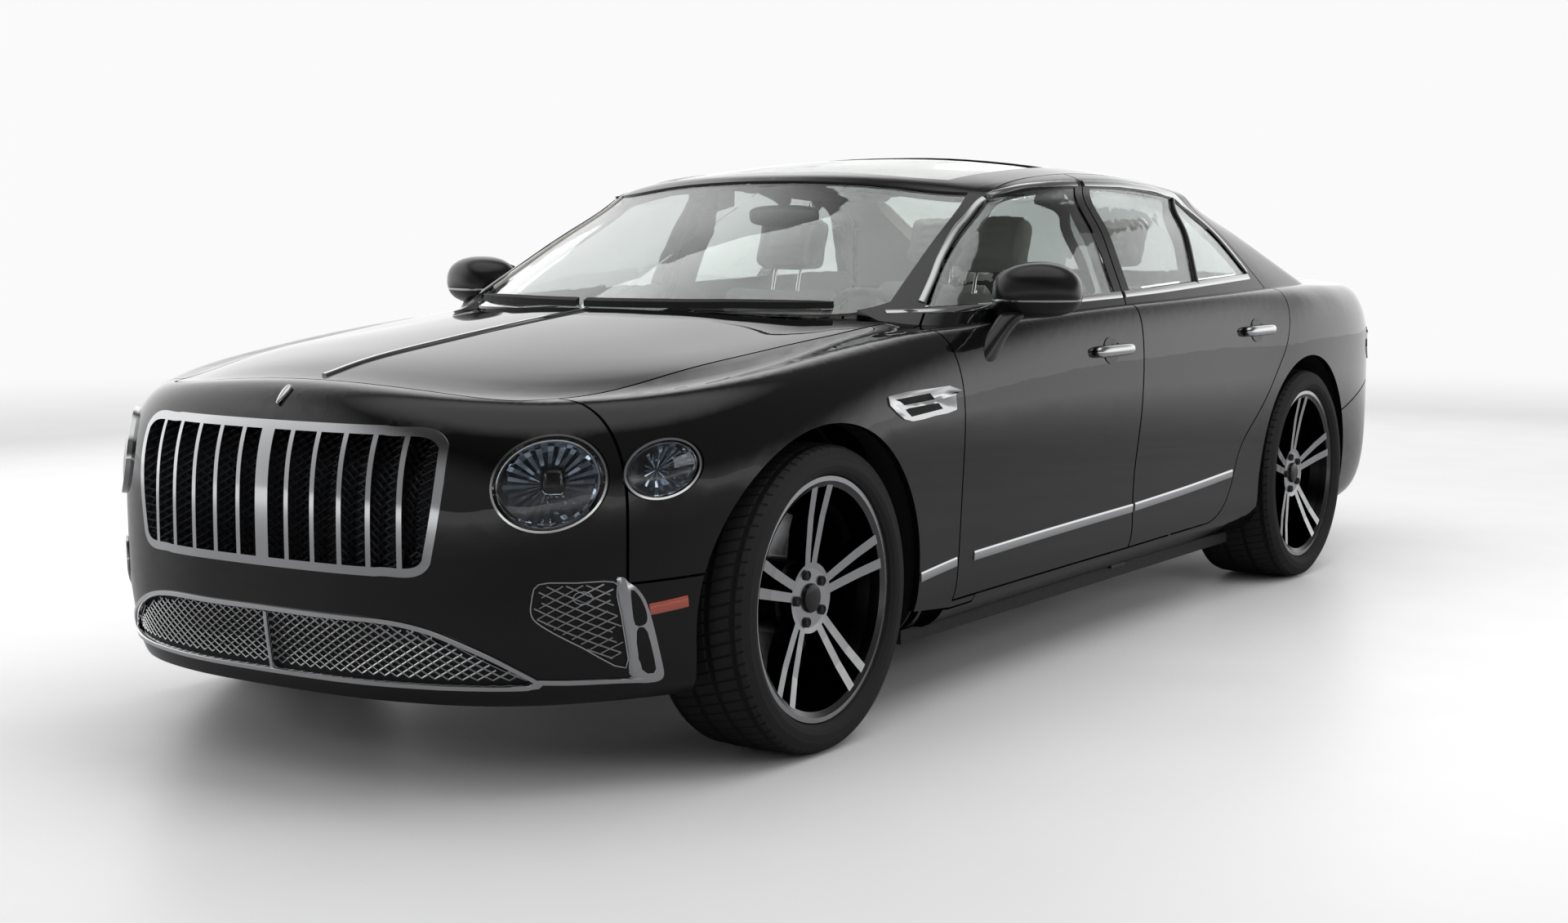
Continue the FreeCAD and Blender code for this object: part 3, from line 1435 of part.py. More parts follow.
# Dashboard, console and steering wheel
dash_half_width = 770.0
dash_low = 700.0
dash_front = -1140.0
dash_top = 930.0
dash_ridge_y = -1000.0
dash_ridge_z = 985.0
dash_shelf_top = 965.0
dash_face_y = -770.0
dash_face_z = 930.0
console_half_width = 115.0
console_rear = 120.0
console_top = 640.0
wheel_x = 385.0
wheel_y = -580.0
wheel_z = 905.0
wheel_rim_radius = 182.0
wheel_grip = 15.0
wheel_lean = -65.0
column_radius = 30.0
column_length = 300.0


def make_cabin():
    """Dashboard with console, steering wheel and seats."""
    places = [
        (dash_front, dash_low), (dash_front, dash_top), (dash_ridge_y, dash_ridge_z),
        (dash_face_y, dash_face_z), (dash_face_y, dash_low),
    ]
    points = [V(-dash_half_width, y, z) for y, z in places]
    dash = Part.Face(Part.makePolygon(points + points[:1])).extrude(V(2 * dash_half_width, 0, 0))
    console = block(
        -console_half_width, console_half_width, dash_face_y - column_radius, console_rear,
        tunnel_top, console_top,
    )
    stack = block(
        -console_half_width, console_half_width, cabin_front, dash_face_y,
        tunnel_top, dash_low,
    )
    shelf = plan_cut(screen_shares).common(
        block(0, far, -length, dash_ridge_y, scuttle_top, dash_shelf_top)
    )
    box = plan_cut(cowl_shares, seat_gap).common(block(0, far, -length, 0, front_wall_top, above))
    dash = dash.multiFuse([console, stack, shelf, mirrored(shelf)])
    dash = dash.cut(box).cut(mirrored(box))
    export("dashboard", dash)
    hoop = Part.makeTorus(wheel_rim_radius, wheel_grip)
    column = Part.makeCylinder(column_radius, column_length, V(0, 0, 0), V(0, 0, -1))
    bar = block(-wheel_rim_radius, wheel_rim_radius, -wheel_grip, wheel_grip, -wheel_grip / 2, wheel_grip / 2)
    hoop = hoop.multiFuse([column, bar])
    hoop.rotate(V(0, 0, 0), V(1, 0, 0), wheel_lean)
    hoop.translate(V(wheel_x, wheel_y, wheel_z))
    export("steering_wheel", largest(hoop.cut(dash)))
    front = seat(seat_x, front_seat_y, seat_width)
    export("front_seats", both(front))
    rear = seat(rear_seat_x, rear_seat_y, seat_width)
    half = cushion_depth / 2
    middle = block(
        0, rear_seat_x, rear_seat_y - half + back_wall, rear_seat_y + half, floor_top, cushion_low,
    )
    middle = middle.cut(block(
        0, tunnel_half_width, -length, length, below, tunnel_top,
    ))
    export("rear_seats", joined(rear.fuse(middle)))


# Wipers
wiper_stand = 12.0
muffler_from_x = 300.0
muffler_to_x = 620.0
muffler_from_y = 2000.0
muffler_to_y = 2350.0
muffler_low = 300.0
pipe_x = 540.0
pipe_y = 2560.0
pipe_z = 330.0
pipe_radius = 38.0


def make_small():
    """Wipers and exhaust."""
    blades = []
    for shares in (wiper_shares, small_wiper_shares):
        strip = plan_cut(shares).common(block(-far, far, -length, 0, below, above))
        blade = joined(house(glass_depth - wiper_stand)).common(strip)
        blades.append(blade.cut(joined(house(glass_depth))))
    export("wipers", Part.makeCompound(blades))
    muffler = block(muffler_from_x, muffler_to_x, muffler_from_y, muffler_to_y, muffler_low, boot_floor_z)
    pipe = Part.makeCylinder(pipe_radius, pipe_y - muffler_to_y, V(pipe_x, muffler_to_y, pipe_z), V(0, 1, 0))
    export("exhaust", both(muffler.fuse(pipe)))


if __name__ == "__main__":
    os.makedirs("parts", exist_ok=True)
    make_doors()
    make_mirrors()
    make_lids()
    make_glass()
    make_roof()
    make_wings()
    make_front()
    make_rear()
    make_body()
    make_floor()
    make_running_gear()
    make_wheels()
    make_cabin()
    make_small()
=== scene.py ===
"""Looks of a large black four-door saloon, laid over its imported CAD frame."""
import math

import bpy
from mathutils import Matrix, Vector
from mathutils.bvhtree import BVHTree


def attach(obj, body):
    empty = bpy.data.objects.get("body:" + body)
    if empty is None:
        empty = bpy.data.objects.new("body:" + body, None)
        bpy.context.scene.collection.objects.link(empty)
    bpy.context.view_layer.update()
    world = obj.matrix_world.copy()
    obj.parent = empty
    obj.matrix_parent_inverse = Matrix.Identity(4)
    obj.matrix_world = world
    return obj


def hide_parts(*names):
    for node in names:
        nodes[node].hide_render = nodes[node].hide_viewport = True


bl_info = {
    "name": "Black saloon car",
    "version": (1, 0, 0),
    "blender": (4, 5, 0),
    "location": "View3D > Sidebar > Saloon",
    "description": "Paint, glass, bright trim, lamps, wheels and cabin of a four-door saloon",
    "category": "Object",
}

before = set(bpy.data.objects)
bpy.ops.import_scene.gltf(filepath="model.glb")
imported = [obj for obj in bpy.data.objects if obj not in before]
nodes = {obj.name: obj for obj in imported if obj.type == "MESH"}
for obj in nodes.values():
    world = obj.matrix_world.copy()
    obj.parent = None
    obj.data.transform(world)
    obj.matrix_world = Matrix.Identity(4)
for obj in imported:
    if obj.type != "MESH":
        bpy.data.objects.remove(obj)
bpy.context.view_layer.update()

# Places of the car in metres, as the frame has them.
FRONT_AXLE = -1.760
REAR_AXLE = 1.434
FRONT_TYRE_RADIUS = 0.3755
REAR_TYRE_RADIUS = 0.374
FRONT_TRACK = 1.670
REAR_TRACK = 1.664
DOOR_SPLIT = 0.064
GRILLE_DEPTH = 0.050

SIDES = ((1, "l"), (-1, "r"))
TWELFTH = 0.524  # a twelfth of a turn, in radians
AHEAD = 3.2  # from here on, nothing of the car lies further along Y
ABEAM = 1.4  # and nothing of it lies further out to a side
MIRROR_MIDDLE = Vector((0.9955, -0.745, 1.088))
MIRROR_SWEEP = math.radians(22)
MIRROR_GROWTH = (1.2, 1.22, 1.12)
SEAT_LEAN = -18
CAMERA_PLACE = (3.7325, -6.1554, 1.2741)
CAMERA_YAW, CAMERA_PITCH, CAMERA_ROLL = 2.1533, -0.1084, -0.0014
CAMERA_LENS = 50.445
ROOM_WHITE = "#FAFAFA"
FLOOR_GREY = "#BDBDBD"
# Each studio light: its name, place, the place it looks at, its two sizes and its watts.
LIGHTS = (
    ("ceiling_light", (0.0, 0.0, 4.6), (0, 0, 0), 9.0, 4.0, 420),
    ("left_wall_light", (6.5, 1.5, 2.6), (0, 0.6, 0.8), 8.0, 2.2, 190),
    ("right_wall_light", (-6.5, 0.5, 2.6), (0, 0, 0.8), 8.0, 2.2, 150),
    ("rear_wall_light", (0.0, 8.0, 2.8), (0, 0, 0.8), 8.0, 2.6, 170),
    ("front_wall_light", (-2.5, -8.0, 3.2), (0, -1, 0.6), 6.0, 1.6, 110),
)
BODY_NODES = (
    "body_sides", "bonnet", "boot_lid", "front_wings", "front_bumper", "rear_bumper",
    "door_fl", "door_fr", "door_rl", "door_rr", "roof",
)
GLASS_NODES = ("fixed_glass", "glass_fl", "glass_fr", "glass_rl", "glass_rr")


class SaloonSizes(bpy.types.PropertyGroup):
    """Sizes of the trim that a user may change."""
    strip_width: bpy.props.FloatProperty(
        name="Window strip", description="Width of the bright strip round the side windows",
        default=0.020, unit="LENGTH")
    sill_width: bpy.props.FloatProperty(
        name="Sill strip", description="Width of the bright strip along the doors' feet",
        default=0.026, unit="LENGTH")
    spear_width: bpy.props.FloatProperty(
        name="Bonnet strip", description="Width of the bright strip down the bonnet",
        default=0.014, unit="LENGTH")
    strip_height: bpy.props.FloatProperty(
        name="Strip height", description="How far the bright strips stand off the paint",
        default=0.0035, unit="LENGTH")
    bezel_width: bpy.props.FloatProperty(
        name="Lamp ring", description="Width of the bright ring round each headlamp",
        default=0.007, unit="LENGTH")
    lattice_pitch: bpy.props.FloatProperty(
        name="Lattice pitch", description="Distance between the wires of the radiator lattice",
        default=0.036, unit="LENGTH")
    intake_pitch: bpy.props.FloatProperty(
        name="Intake wire pitch", description="Distance between the wires of the air intakes",
        default=0.030, unit="LENGTH")
    wire: bpy.props.FloatProperty(
        name="Wire", description="Half thickness of a lattice wire", default=0.0022,
        unit="LENGTH")


class SaloonColours(bpy.types.PropertyGroup):
    """Colours that a user may change."""
    paint: bpy.props.StringProperty(
        name="Paint", description="Colour of the body under its clear coat", default="#070708")
    seat: bpy.props.StringProperty(
        name="Seat leather", description="Colour of the seats", default="#B4B1AB")
    trim: bpy.props.StringProperty(
        name="Cabin leather", description="Colour of the dashboard", default="#1C1C1D")
    lining: bpy.props.StringProperty(
        name="Roof lining", description="Colour of the roof cloth", default="#BDBAB4")
    tint: bpy.props.StringProperty(
        name="Glass", description="Tint of the windows", default="#D5DAD8")


def linear(code):
    """An sRGB hex colour as the linear colour that a shader takes."""
    out = []
    for i in (1, 3, 5):
        c = int(code[i:i + 2], 16) / 255
        out.append(c / 12.92 if c <= 0.04045 else ((c + 0.055) / 1.055) ** 2.4)
    return (*out, 1.0)


def add(tree, kind, settings=None, **links):
    """Add a node with its settings and links. A link is a socket or a constant."""
    made = tree.nodes.new(kind)
    for key, value in (settings or {}).items():
        setattr(made, key, value)
    for key, value in links.items():
        name = key.replace("_", " ")
        socket = made.inputs[int(key[1:])] if key[1:].isdigit() else made.inputs[name]
        if isinstance(value, bpy.types.NodeSocket):
            tree.links.new(value, socket)
        else:
            socket.default_value = value
    return made


def finish_of(name, colour, **settings):
    """A new material with one principled shader, its tree and its object coordinates."""
    mat = bpy.data.materials.new(name)
    mat.use_nodes = True
    tree = mat.node_tree
    shader = tree.nodes["Principled BSDF"]
    shader.inputs["Base Color"].default_value = linear(colour)
    for key, value in settings.items():
        shader.inputs[key.replace("_", " ")].default_value = value
    place = add(tree, "ShaderNodeTexCoord").outputs["Object"]
    return mat, tree, shader, place


def grain(tree, shader, place, size, depth, detail=2.0):
    """A fine uneven relief: size is its real spacing in metres."""
    noise = add(tree, "ShaderNodeTexNoise", Vector=place, Scale=1 / size, Detail=detail)
    bump = add(tree, "ShaderNodeBump", Strength=1.0, Distance=depth, Height=noise.outputs[0])
    tree.links.new(bump.outputs[0], shader.inputs["Normal"])
    return noise


def patchy(tree, shader, place, size, low, high):
    """Uneven roughness, as on a surface wiped by hand."""
    noise = add(tree, "ShaderNodeTexNoise", Vector=place, Scale=1 / size, Detail=3.0)
    spread = add(tree, "ShaderNodeMapRange", Value=noise.outputs[0], To_Min=low, To_Max=high)
    tree.links.new(spread.outputs[0], shader.inputs["Roughness"])


def inner_side(tree, place, from_y, to_y, from_z):
    """One where a face looks to the car's middle line inside the cabin, and nought elsewhere."""
    normal = add(tree, "ShaderNodeTexCoord").outputs["Normal"]
    n = add(tree, "ShaderNodeSeparateXYZ", Vector=normal)
    p = add(tree, "ShaderNodeSeparateXYZ", Vector=place)
    side = add(tree, "ShaderNodeMath", {"operation": "MULTIPLY"}, _0=n.outputs[0], _1=p.outputs[0])
    inward = add(tree, "ShaderNodeMath", {"operation": "LESS_THAN"}, _0=side.outputs[0], _1=-0.12)
    down = add(tree, "ShaderNodeMath", {"operation": "LESS_THAN"}, _0=n.outputs[2], _1=-0.5)
    high = add(tree, "ShaderNodeMath", {"operation": "GREATER_THAN"}, _0=p.outputs[2], _1=1.25)
    under = add(tree, "ShaderNodeMath", {"operation": "MULTIPLY"}, _0=down.outputs[0],
                _1=high.outputs[0])
    either = add(tree, "ShaderNodeMath", {"operation": "MAXIMUM"}, _0=inward.outputs[0],
                 _1=under.outputs[0])
    for socket, value, how in (
        (1, from_y, "GREATER_THAN"), (1, to_y, "LESS_THAN"), (2, from_z, "GREATER_THAN"),
    ):
        gate = add(tree, "ShaderNodeMath", {"operation": how}, _0=p.outputs[socket], _1=value)
        either = add(tree, "ShaderNodeMath", {"operation": "MULTIPLY"}, _0=either.outputs[0],
                     _1=gate.outputs[0])
    return either.outputs[0]


materials = {}

# Metals by key: name, colour, how metallic, size of the haze and its roughness from low to
# high, then the spacing and depth of the relief on a cast surface.
METALS = (
    # Chromium plate on polished metal: a clean mirror with the faintest haze of polishing.
    ("chrome", "bright_chrome", "#DDDEDF", 1.0, 0.05, 0.04, 0.09, 0, 0),
    # Smoked chromium plate on the radiator vanes.
    ("vane", "smoked_chrome", "#CDCED0", 1.0, 0.04, 0.06, 0.12, 0, 0),
    # Black chromium on the radiator's lattice.
    ("black_chrome", "black_chrome", "#4A4B4E", 1.0, 0.04, 0.14, 0.24, 0, 0),
    # Vacuum-metallised lamp reflectors, cut in facets.
    ("reflector", "cut_reflector", "#7E868F", 1.0, 0.006, 0.03, 0.16, 0, 0),
    # Dark grey enamel on the wheels' bolts.
    ("dark_alloy", "dark_grey_enamel", "#2A2A2C", 0.4, 0.02, 0.28, 0.40, 0, 0),
    # Cast and coated chassis steel.
    ("steel", "coated_steel", "#222224", 0.3, 0.02, 0.45, 0.65, 0.004, 0.0001),
    # Brushed stainless exhaust.
    ("stainless", "brushed_stainless", "#9B9A98", 1.0, 0.01, 0.2, 0.35, 0, 0),
    # Cast aluminium engine covers.
    ("cast", "cast_aluminium", "#7D7D7F", 0.8, 0.02, 0.4, 0.6, 0.002, 0.0002),
    # Silvered mirror glass.
    ("silver", "silvered_glass", "#D9DEE2", 1.0, 0.2, 0.01, 0.03, 0, 0),
)


def make_materials(colours):
    """All finishes of the car, kept by name."""
    # Two-layer black paint: a deep base under a hard clear coat, so it mirrors the room.
    mat, tree, shader, place = finish_of(
        "gloss_black_paint", colours.paint, Roughness=0.30, Specular_IOR_Level=0.0,
        Coat_Weight=1.0, Coat_Roughness=0.02, Coat_IOR=1.55)
    grain(tree, shader, place, 0.004, 0.00001)
    materials["paint"] = mat
    # The same paint outside, with the lining cloth's colour on the faces that look into the cabin.
    mat, tree, shader, place = finish_of(
        "paint_with_lined_inside", colours.paint, Roughness=0.30, Specular_IOR_Level=0.0, Coat_IOR=1.55)
    inside = inner_side(tree, place, -1.02, 1.90, 0.35)
    mix = add(tree, "ShaderNodeMix", {"data_type": "RGBA"}, Factor=inside)
    mix.inputs[6].default_value = linear(colours.paint)
    mix.inputs[7].default_value = linear(colours.lining)
    tree.links.new(mix.outputs[2], shader.inputs["Base Color"])
    coat = add(tree, "ShaderNodeMath", {"operation": "SUBTRACT"}, _0=1.0, _1=inside)
    tree.links.new(coat.outputs[0], shader.inputs["Coat Weight"])
    shader.inputs["Coat Roughness"].default_value = 0.02
    grain(tree, shader, place, 0.004, 0.00001)
    materials["lined_paint"] = mat
    # Moulded gloss black plastic with a fine moulding texture.
    mat, tree, shader, place = finish_of("moulded_black_gloss", "#0E0E0F", Roughness=0.22)
    grain(tree, shader, place, 0.003, 0.00002)
    materials["gloss_black"] = mat
    # Grained matt black plastic of grilles' backs, cups and liners.
    mat, tree, shader, place = finish_of("grained_black_plastic", "#101011", Roughness=0.7)
    grain(tree, shader, place, 0.0015, 0.00006)
    patchy(tree, shader, place, 0.03, 0.6, 0.8)
    materials["matt_black"] = mat
    # Clear moulded polycarbonate over the lamps.
    mat, tree, shader, place = finish_of(
        "clear_polycarbonate", "#F4F8FB", Roughness=0.0, Transmission_Weight=1.0, IOR=1.45)
    grain(tree, shader, place, 0.03, 0.00001)
    materials["lamp_glass"] = mat
    # Float glass with a light grey tint.
    mat, tree, shader, place = finish_of(
        "tinted_float_glass", colours.tint, Roughness=0.0, Transmission_Weight=1.0, IOR=1.45)
    grain(tree, shader, place, 0.25, 0.00002)
    materials["glass"] = mat
    # Red acrylic tail lamp with light guides behind it.
    mat, tree, shader, place = finish_of(
        "red_acrylic", "#7E0B10", Roughness=0.05, Coat_Weight=1.0, Coat_Roughness=0.02)
    wave = add(tree, "ShaderNodeTexWave", {"bands_direction": "Z"}, Vector=place, Scale=20.0)
    bump = add(tree, "ShaderNodeBump", Strength=1.0, Distance=0.0006, Height=wave.outputs[1])
    tree.links.new(bump.outputs[0], shader.inputs["Normal"])
    materials["red_lamp"] = mat
    # Amber acrylic side marker.
    mat, tree, shader, place = finish_of(
        "amber_acrylic", "#8F4638", Roughness=0.12, Coat_Weight=1.0, Coat_Roughness=0.03)
    grain(tree, shader, place, 0.004, 0.0002)
    materials["amber"] = mat
    # Hide leather: pores and creases a millimetre or two apart, dull sheen.
    for key, name, code in (
        ("seat", "grey_hide", colours.seat), ("trim", "black_hide", colours.trim),
    ):
        mat, tree, shader, place = finish_of(name, code, Roughness=0.5, Sheen_Weight=0.1)
        cells = add(tree, "ShaderNodeTexVoronoi", Vector=place, Scale=1 / 0.0025)
        bump = add(tree, "ShaderNodeBump", Strength=0.6, Distance=0.0003, Height=cells.outputs[0])
        tree.links.new(bump.outputs[0], shader.inputs["Normal"])
        patchy(tree, shader, place, 0.08, 0.42, 0.6)
        materials[key] = mat
    # Knitted roof cloth: a matt surface with threads a millimetre apart.
    mat, tree, shader, place = finish_of("knitted_lining", colours.lining, Sheen_Weight=0.3)
    weave = add(tree, "ShaderNodeTexWave", Vector=place, Scale=40.0, Distortion=1.0)
    bump = add(tree, "ShaderNodeBump", Strength=0.5, Distance=0.0003, Height=weave.outputs[1])
    tree.links.new(bump.outputs[0], shader.inputs["Normal"])
    shader.inputs["Roughness"].default_value = 0.95
    materials["lining"] = mat
    # Forged alloy: the faces turned bright, the sides and windows left dark grey.
    mat, tree, shader, place = finish_of("turned_alloy", "#C9CACB", Metallic=1.0)
    normal = add(tree, "ShaderNodeTexCoord").outputs["Normal"]
    n = add(tree, "ShaderNodeSeparateXYZ", Vector=normal)
    out = add(tree, "ShaderNodeMath", {"operation": "ABSOLUTE"}, _0=n.outputs[0])
    face = add(tree, "ShaderNodeMapRange", Value=out.outputs[0], From_Min=0.86, From_Max=0.90)
    mix = add(tree, "ShaderNodeMix", {"data_type": "RGBA"}, Factor=face.outputs[0])
    mix.inputs[6].default_value = linear("#2B2B2D")
    mix.inputs[7].default_value = linear("#C9CACB")
    tree.links.new(mix.outputs[2], shader.inputs["Base Color"])
    rings = add(tree, "ShaderNodeTexNoise", Vector=place, Scale=60.0, Detail=3.0)
    rough = add(tree, "ShaderNodeMapRange", Value=rings.outputs[0], To_Min=0.16, To_Max=0.30)
    tree.links.new(rough.outputs[0], shader.inputs["Roughness"])
    materials["alloy"] = mat
    for key, name, colour, metal, size, low, high, pitch, depth in METALS:
        mat, tree, shader, place = finish_of(name, colour, Metallic=metal)
        patchy(tree, shader, place, size, low, high)
        if pitch:
            grain(tree, shader, place, pitch, depth)
        materials[key] = mat
    for key, y, radius, width, track in (
        ("tyre_f", FRONT_AXLE, FRONT_TYRE_RADIUS, 0.275, FRONT_TRACK),
        ("tyre_r", REAR_AXLE, REAR_TYRE_RADIUS, 0.315, REAR_TRACK),
    ):
        materials[key] = rubber(key, y, radius, width, track)


def rubber(name, y, radius, width, track):
    """Tyre rubber with a road tread: four grooves round and slots across, cut as relief, and painted
    shade that darkens the rubber in the grooves and slots.
    """
    mat, tree, shader, place = finish_of("cured_rubber_" + name, "#141414", Roughness=0.75)
    p = add(tree, "ShaderNodeSeparateXYZ", Vector=place)
    across = add(tree, "ShaderNodeMath", {"operation": "ABSOLUTE"}, _0=p.outputs[0])
    across = add(tree, "ShaderNodeMath", {"operation": "SUBTRACT"}, _0=across.outputs[0], _1=track / 2)
    dy = add(tree, "ShaderNodeMath", {"operation": "SUBTRACT"}, _0=p.outputs[1], _1=y)
    dz = add(tree, "ShaderNodeMath", {"operation": "SUBTRACT"}, _0=p.outputs[2], _1=radius)
    turn = add(tree, "ShaderNodeMath", {"operation": "ARCTAN2"}, _0=dz.outputs[0], _1=dy.outputs[0])
    dy2 = add(tree, "ShaderNodeMath", {"operation": "MULTIPLY"}, _0=dy.outputs[0], _1=dy.outputs[0])
    dz2 = add(tree, "ShaderNodeMath", {"operation": "MULTIPLY"}, _0=dz.outputs[0], _1=dz.outputs[0])
    reach = add(tree, "ShaderNodeMath", {"operation": "ADD"}, _0=dy2.outputs[0], _1=dz2.outputs[0])
    reach = add(tree, "ShaderNodeMath", {"operation": "SQRT"}, _0=reach.outputs[0])
    groove = add(tree, "ShaderNodeMath", {"operation": "MULTIPLY"}, _0=across.outputs[0],
                 _1=2 * math.pi * 4 / width)
    groove = add(tree, "ShaderNodeMath", {"operation": "COSINE"}, _0=groove.outputs[0])
    groove = add(tree, "ShaderNodeMapRange", Value=groove.outputs[0], From_Min=-0.95, From_Max=-0.6)
    slant = add(tree, "ShaderNodeMath", {"operation": "MULTIPLY"}, _0=across.outputs[0], _1=60.0)
    slot = add(tree, "ShaderNodeMath", {"operation": "MULTIPLY"}, _0=turn.outputs[0], _1=78.0)
    slot = add(tree, "ShaderNodeMath", {"operation": "ADD"}, _0=slot.outputs[0], _1=slant.outputs[0])
    slot = add(tree, "ShaderNodeMath", {"operation": "COSINE"}, _0=slot.outputs[0])
    slot = add(tree, "ShaderNodeMapRange", Value=slot.outputs[0], From_Min=-0.95, From_Max=-0.75)
    blocks = add(tree, "ShaderNodeMath", {"operation": "MULTIPLY"}, _0=groove.outputs[0],
                 _1=slot.outputs[0])
    on_tread = add(tree, "ShaderNodeMath", {"operation": "GREATER_THAN"}, _0=reach.outputs[0],
                   _1=radius - 0.014)
    keep = add(tree, "ShaderNodeMix", {"data_type": "FLOAT"}, Factor=on_tread.outputs[0], _2=1.0)
    tree.links.new(blocks.outputs[0], keep.inputs[3])
    rings = add(tree, "ShaderNodeMath", {"operation": "MULTIPLY"}, _0=reach.outputs[0],
                _1=2 * math.pi / 0.011)
    rings = add(tree, "ShaderNodeMath", {"operation": "COSINE"}, _0=rings.outputs[0])
    rings = add(tree, "ShaderNodeMapRange", Value=rings.outputs[0], From_Min=0.75,
                From_Max=0.95, To_Max=0.12)
    height = add(tree, "ShaderNodeMath", {"operation": "ADD"}, _0=keep.outputs[0], _1=rings.outputs[0])
    bump = add(tree, "ShaderNodeBump", Strength=1.0, Distance=0.004, Height=height.outputs[0])
    tree.links.new(bump.outputs[0], shader.inputs["Normal"])
    # Painted shade: the tread's grooves and slots are coloured darker than its blocks, as though shade
    # falls in them.
    painted_groove_shade = add(tree, "ShaderNodeMix", {"data_type": "RGBA"}, Factor=keep.outputs[0])
    painted_groove_shade.inputs[6].default_value = linear("#050505")
    painted_groove_shade.inputs[7].default_value = linear("#171717")
    tree.links.new(painted_groove_shade.outputs[2], shader.inputs["Base Color"])
    return mat


NODE_FINISH = {
    "body_sides": "lined_paint", "roof": "lined_paint", "door_fl": "lined_paint",
    "door_fr": "lined_paint", "door_rl": "lined_paint", "door_rr": "lined_paint",
    "bonnet": "paint", "boot_lid": "paint", "front_wings": "paint", "front_bumper": "paint",
    "rear_bumper": "paint", "mirror_l": "gloss_black", "mirror_r": "gloss_black",
    "underbody": "steel", "floor_pan": "steel", "tunnel": "steel", "boot_floor": "matt_black",
    "rear_bulkhead": "matt_black", "parcel_shelf": "trim", "rear_wheel_houses": "steel",
    "rear_carriers": "steel", "engine": "cast", "suspension": "steel", "exhaust": "stainless",
    "grille_vanes": "vane", "grille_mesh": "matt_black", "bumper_grilles": "matt_black",
    "wing_vents": "chrome", "headlamp_lenses": "lamp_glass", "headlamp_housings": "gloss_black",
    "tail_lamps": "red_lamp", "boot_lamps": "red_lamp", "fixed_glass": "glass",
    "glass_fl": "glass", "glass_fr": "glass", "glass_rl": "glass", "glass_rr": "glass",
    "dashboard": "trim", "steering_wheel": "trim", "front_seats": "seat", "rear_seats": "seat",
    "wipers": "matt_black", "knuckle_fl": "steel", "knuckle_fr": "steel",
    "wheel_fl": "alloy", "wheel_fr": "alloy", "wheel_rl": "alloy", "wheel_rr": "alloy",
    "tyre_fl": "tyre_f", "tyre_fr": "tyre_f", "tyre_rl": "tyre_r", "tyre_rr": "tyre_r",
}


def dress(obj, key):
    """Give an object one finish."""
    obj.data.materials.clear()
    obj.data.materials.append(materials[key])


trees = {}


def hit(names, start, way):
    """The nearest point and normal of some CAD nodes, seen from a point along a direction."""
    best = None
    way = Vector(way).normalized()
    for name in names:
        if name not in trees:
            trees[name] = BVHTree.FromObject(nodes[name], bpy.context.evaluated_depsgraph_get())
        place, normal, _, distance = trees[name].ray_cast(Vector(start), way)
        if place is not None and (best is None or distance < best[2]):
            if normal.dot(way) > 0:
                normal = -normal
            best = (place, normal, distance)
    if best is None:
        raise RuntimeError(f"no surface of {names} lies along {way} from {start}")
    return best[0], best[1]


def smooth_line(points, count=8, closed=False):
    """More points on a smooth curve through the given ones."""
    points = [Vector(p) for p in points]
    n = len(points)
    out = []
    for i in range(n if closed else n - 1):
        a, b = points[i], points[(i + 1) % n]
        before = points[i - 1] if closed or i else a * 2 - b
        after = points[(i + 2) % n] if closed or i < n - 2 else b * 2 - a
        for k in range(count):
            t = k / count
            out.append(0.5 * (
                2 * a + (b - before) * t + (2 * before - 5 * a + 4 * b - after) * t * t
                + (3 * a - before - 3 * b + after) * t ** 3))
    if not closed:
        out.append(points[-1])
    return out


def new_piece(name, verts, faces, key, body, angle=35):
    """A mesh object from points and faces, cleaned, smoothed, dressed and set on a body."""
    mesh = bpy.data.meshes.new(name)
    mesh.from_pydata([tuple(v) for v in verts], [], faces)
    obj = bpy.data.objects.new(name, mesh)
    bpy.context.scene.collection.objects.link(obj)
    tidy_up(obj, angle)
    dress(obj, key)
    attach(obj, body)
    return obj


def ring_faces(rings, count):
    """Faces between rings of as many points each."""
    faces = []
    for k in range(rings - 1):
        for i in range(count):
            j = (i + 1) % count
            faces.append((k * count + i, k * count + j, (k + 1) * count + j, (k + 1) * count + i))
    return faces


def modified(obj, name, kind, **settings):
    """Put a modifier on an object and apply it."""
    modifier = obj.modifiers.new(name, kind)
    for key, value in settings.items():
        setattr(modifier, key, value)
    bpy.context.view_layer.objects.active = obj
    bpy.ops.object.modifier_apply(modifier=name)


def tidy_up(obj, angle=35):
    """Merge doubles, turn the faces outwards and smooth by angle."""
    bpy.ops.object.select_all(action="DESELECT")
    bpy.context.view_layer.objects.active = obj
    obj.select_set(True)
    bpy.ops.object.mode_set(mode="EDIT")
    bpy.ops.mesh.select_all(action="SELECT")
    bpy.ops.mesh.remove_doubles(threshold=0.00002)
    bpy.ops.mesh.normals_make_consistent(inside=False)
    bpy.ops.object.mode_set(mode="OBJECT")
    bpy.ops.object.shade_smooth_by_angle(angle=math.radians(angle))
    obj.select_set(False)


def ribbon(name, path, width, height, key, body, closed=False, sink=0.002):
    """A crowned strip along a path of points and normals."""
    verts, faces = [], []
    shape = [(-0.5, -sink), (-0.5, height * 0.55), (-0.36, height), (0.36, height),
             (0.5, height * 0.55), (0.5, -sink)]
    n, m = len(path), len(shape)
    for i, (p, normal) in enumerate(path):
        before = path[i - 1][0] if closed or i else p
        after = path[(i + 1) % n][0] if closed or i < n - 1 else p
        side = (after - before).cross(normal).normalized()
        verts += [p + side * (u * width) + normal * h for u, h in shape]
    for i in range(n if closed else n - 1):
        a, b = i * m, ((i + 1) % n) * m
        for k in range(m):
            q = (k + 1) % m
            faces.append((a + k, a + q, b + q, b + k))
    if not closed:
        faces += [tuple(range(m)), tuple((n - 1) * m + k for k in range(m))]
    return new_piece(name, verts, faces, key, body)


